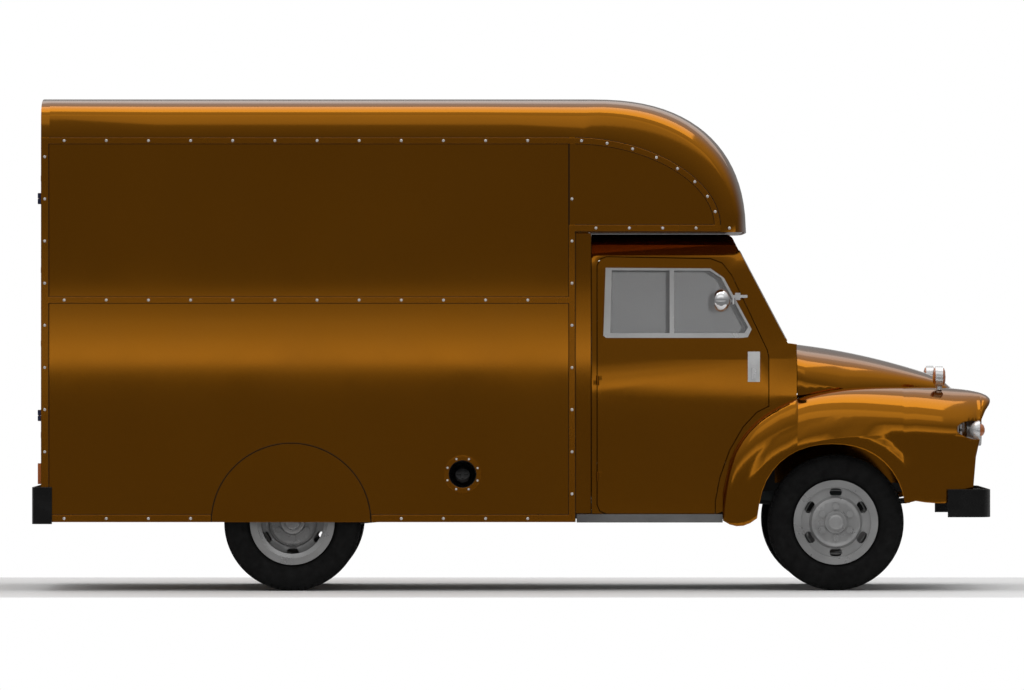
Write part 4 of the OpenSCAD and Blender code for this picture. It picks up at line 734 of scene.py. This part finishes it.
def lock_rods():
    """Upright lock rods in keepers on the inner edges of the rear doors."""
    for side, word in ((-1, "right"), (1, "left")):
        low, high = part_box("rear_door_" + word)
        x = low.x - 0.010
        y = side * 0.085
        rod = bmesh.new()
        tube(rod, densify([(x, y, low.z + 0.03), (x, y, high.z - 0.03)], 0.2, False), 0.007, False,
             12)
        for z in (low.z + 0.10, low.z + 0.62, high.z - 0.62, high.z - 0.10):
            rounded_block(rod, (x - 0.0095, y - 0.020, z - 0.017), (low.x + 0.0005, y + 0.020,
                          z + 0.017), 0.003)
        piece("lock_rod_" + word, rod, look["black_rubber_and_shade_bead"], word + "_rear_door", 40)


lock_rods()

# ---------------------------------------------------------------- stage, light, camera

lo, hi = cad_box
mid_x = (lo.x + hi.x) / 2
LENGTH = hi.x - lo.x
FRAME_WIDTH = 1.0667 * LENGTH
SENSOR = 36.0
LENS = 400.0
LOOK_Z = 1.378

camera_data = bpy.data.cameras.new("camera")
camera_data.sensor_width = SENSOR
camera_data.lens = LENS
camera_data.clip_start = 1.0
camera_data.clip_end = 400.0
camera = bpy.data.objects.new("camera", camera_data)
bpy.context.scene.collection.objects.link(camera)
side_y = -1.05
camera.location = (mid_x, side_y - FRAME_WIDTH * LENS / SENSOR, LOOK_Z)
camera.rotation_euler = (math.radians(90), 0, 0)
bpy.context.scene.camera = camera

bpy.context.scene.view_settings.view_transform = "Standard"


def floor():
    mesh = bpy.data.meshes.new("studio_floor")
    grid = bmesh.new()
    bmesh.ops.create_grid(grid, x_segments=4, y_segments=4, size=0.5)
    bmesh.ops.scale(grid, vec=(LENGTH * 1.7, LENGTH, 1), verts=grid.verts)
    grid.to_mesh(mesh)
    grid.free()
    obj = bpy.data.objects.new("studio_floor", mesh)
    bpy.context.scene.collection.objects.link(obj)
    t = Tree("pale_floor")
    t.to(t.ramp(t.noise(0.5, 3), [(0.3, grey(0.78)), (0.7, grey(0.82))]), "Base Color")
    t.set(Roughness=0.8)
    mesh.materials.append(t.material)


floor()

world = bpy.data.worlds.new("studio")
bpy.context.scene.world = world
world.use_nodes = True
tree = world.node_tree
background = tree.nodes["Background"]
coords = tree.nodes.new("ShaderNodeTexCoord")
split = tree.nodes.new("ShaderNodeSeparateXYZ")
ramp = tree.nodes.new("ShaderNodeValToRGB")
stops = [(0.0, 0.22), (0.47, 0.20), (0.52, 0.20), (0.64, 0.32), (0.85, 0.80), (1.0, 0.95)]
shift = tree.nodes.new("ShaderNodeMath")
shift.operation = "MULTIPLY_ADD"
shift.inputs[1].default_value = 0.5
shift.inputs[2].default_value = 0.5
while len(ramp.color_ramp.elements) < len(stops):
    ramp.color_ramp.elements.new(0.5)
for element, (place, value) in zip(ramp.color_ramp.elements, stops):
    element.position = place
    element.color = (value, value, value, 1)
path = tree.nodes.new("ShaderNodeLightPath")
pick = tree.nodes.new("ShaderNodeMix")
pick.data_type = "RGBA"
pick.inputs[7].default_value = (1, 1, 1, 1)
tree.links.new(coords.outputs["Generated"], split.inputs[0])
tree.links.new(split.outputs["Z"], shift.inputs[0])
tree.links.new(shift.outputs[0], ramp.inputs["Fac"])
tree.links.new(path.outputs["Is Camera Ray"], pick.inputs[0])
tree.links.new(ramp.outputs["Color"], pick.inputs[6])
tree.links.new(pick.outputs[2], background.inputs["Color"])


def area(name, place, towards, width, height, power):
    data = bpy.data.lights.new(name, "AREA")
    data.shape = "RECTANGLE"
    data.size = width
    data.size_y = height
    data.energy = power
    light = bpy.data.objects.new(name, data)
    bpy.context.scene.collection.objects.link(light)
    light.location = place
    light.rotation_euler = (Vector(towards) - Vector(place)).to_track_quat("-Z", "Y").to_euler()
    return light


HORIZON = 1.255
BANDS = ((0.00, 0.07, 1.15), (0.07, 0.16, 0.85), (0.16, 0.28, 0.55), (0.28, 0.44, 0.28))
for side, word in ((-1, "right"), (1, "left")):
    for k, (low, high, bright) in enumerate(BANDS):
        z = HORIZON + (low + high) / 2
        place = Vector((mid_x, side * 4.2, z))
        area("strip_%s_%d" % (word, k), place, (mid_x, 0, z), 12.0, high - low,
             bright * math.pi * 12.0 * (high - low))
    area("upper_" + word, (mid_x, side * 5.5, 5.0), (mid_x, 0, 1.6), 9.0, 2.0, 24)
area("top", (mid_x, 0, 7.5), (mid_x, 0, 0), 9.0, 5.0, 220)
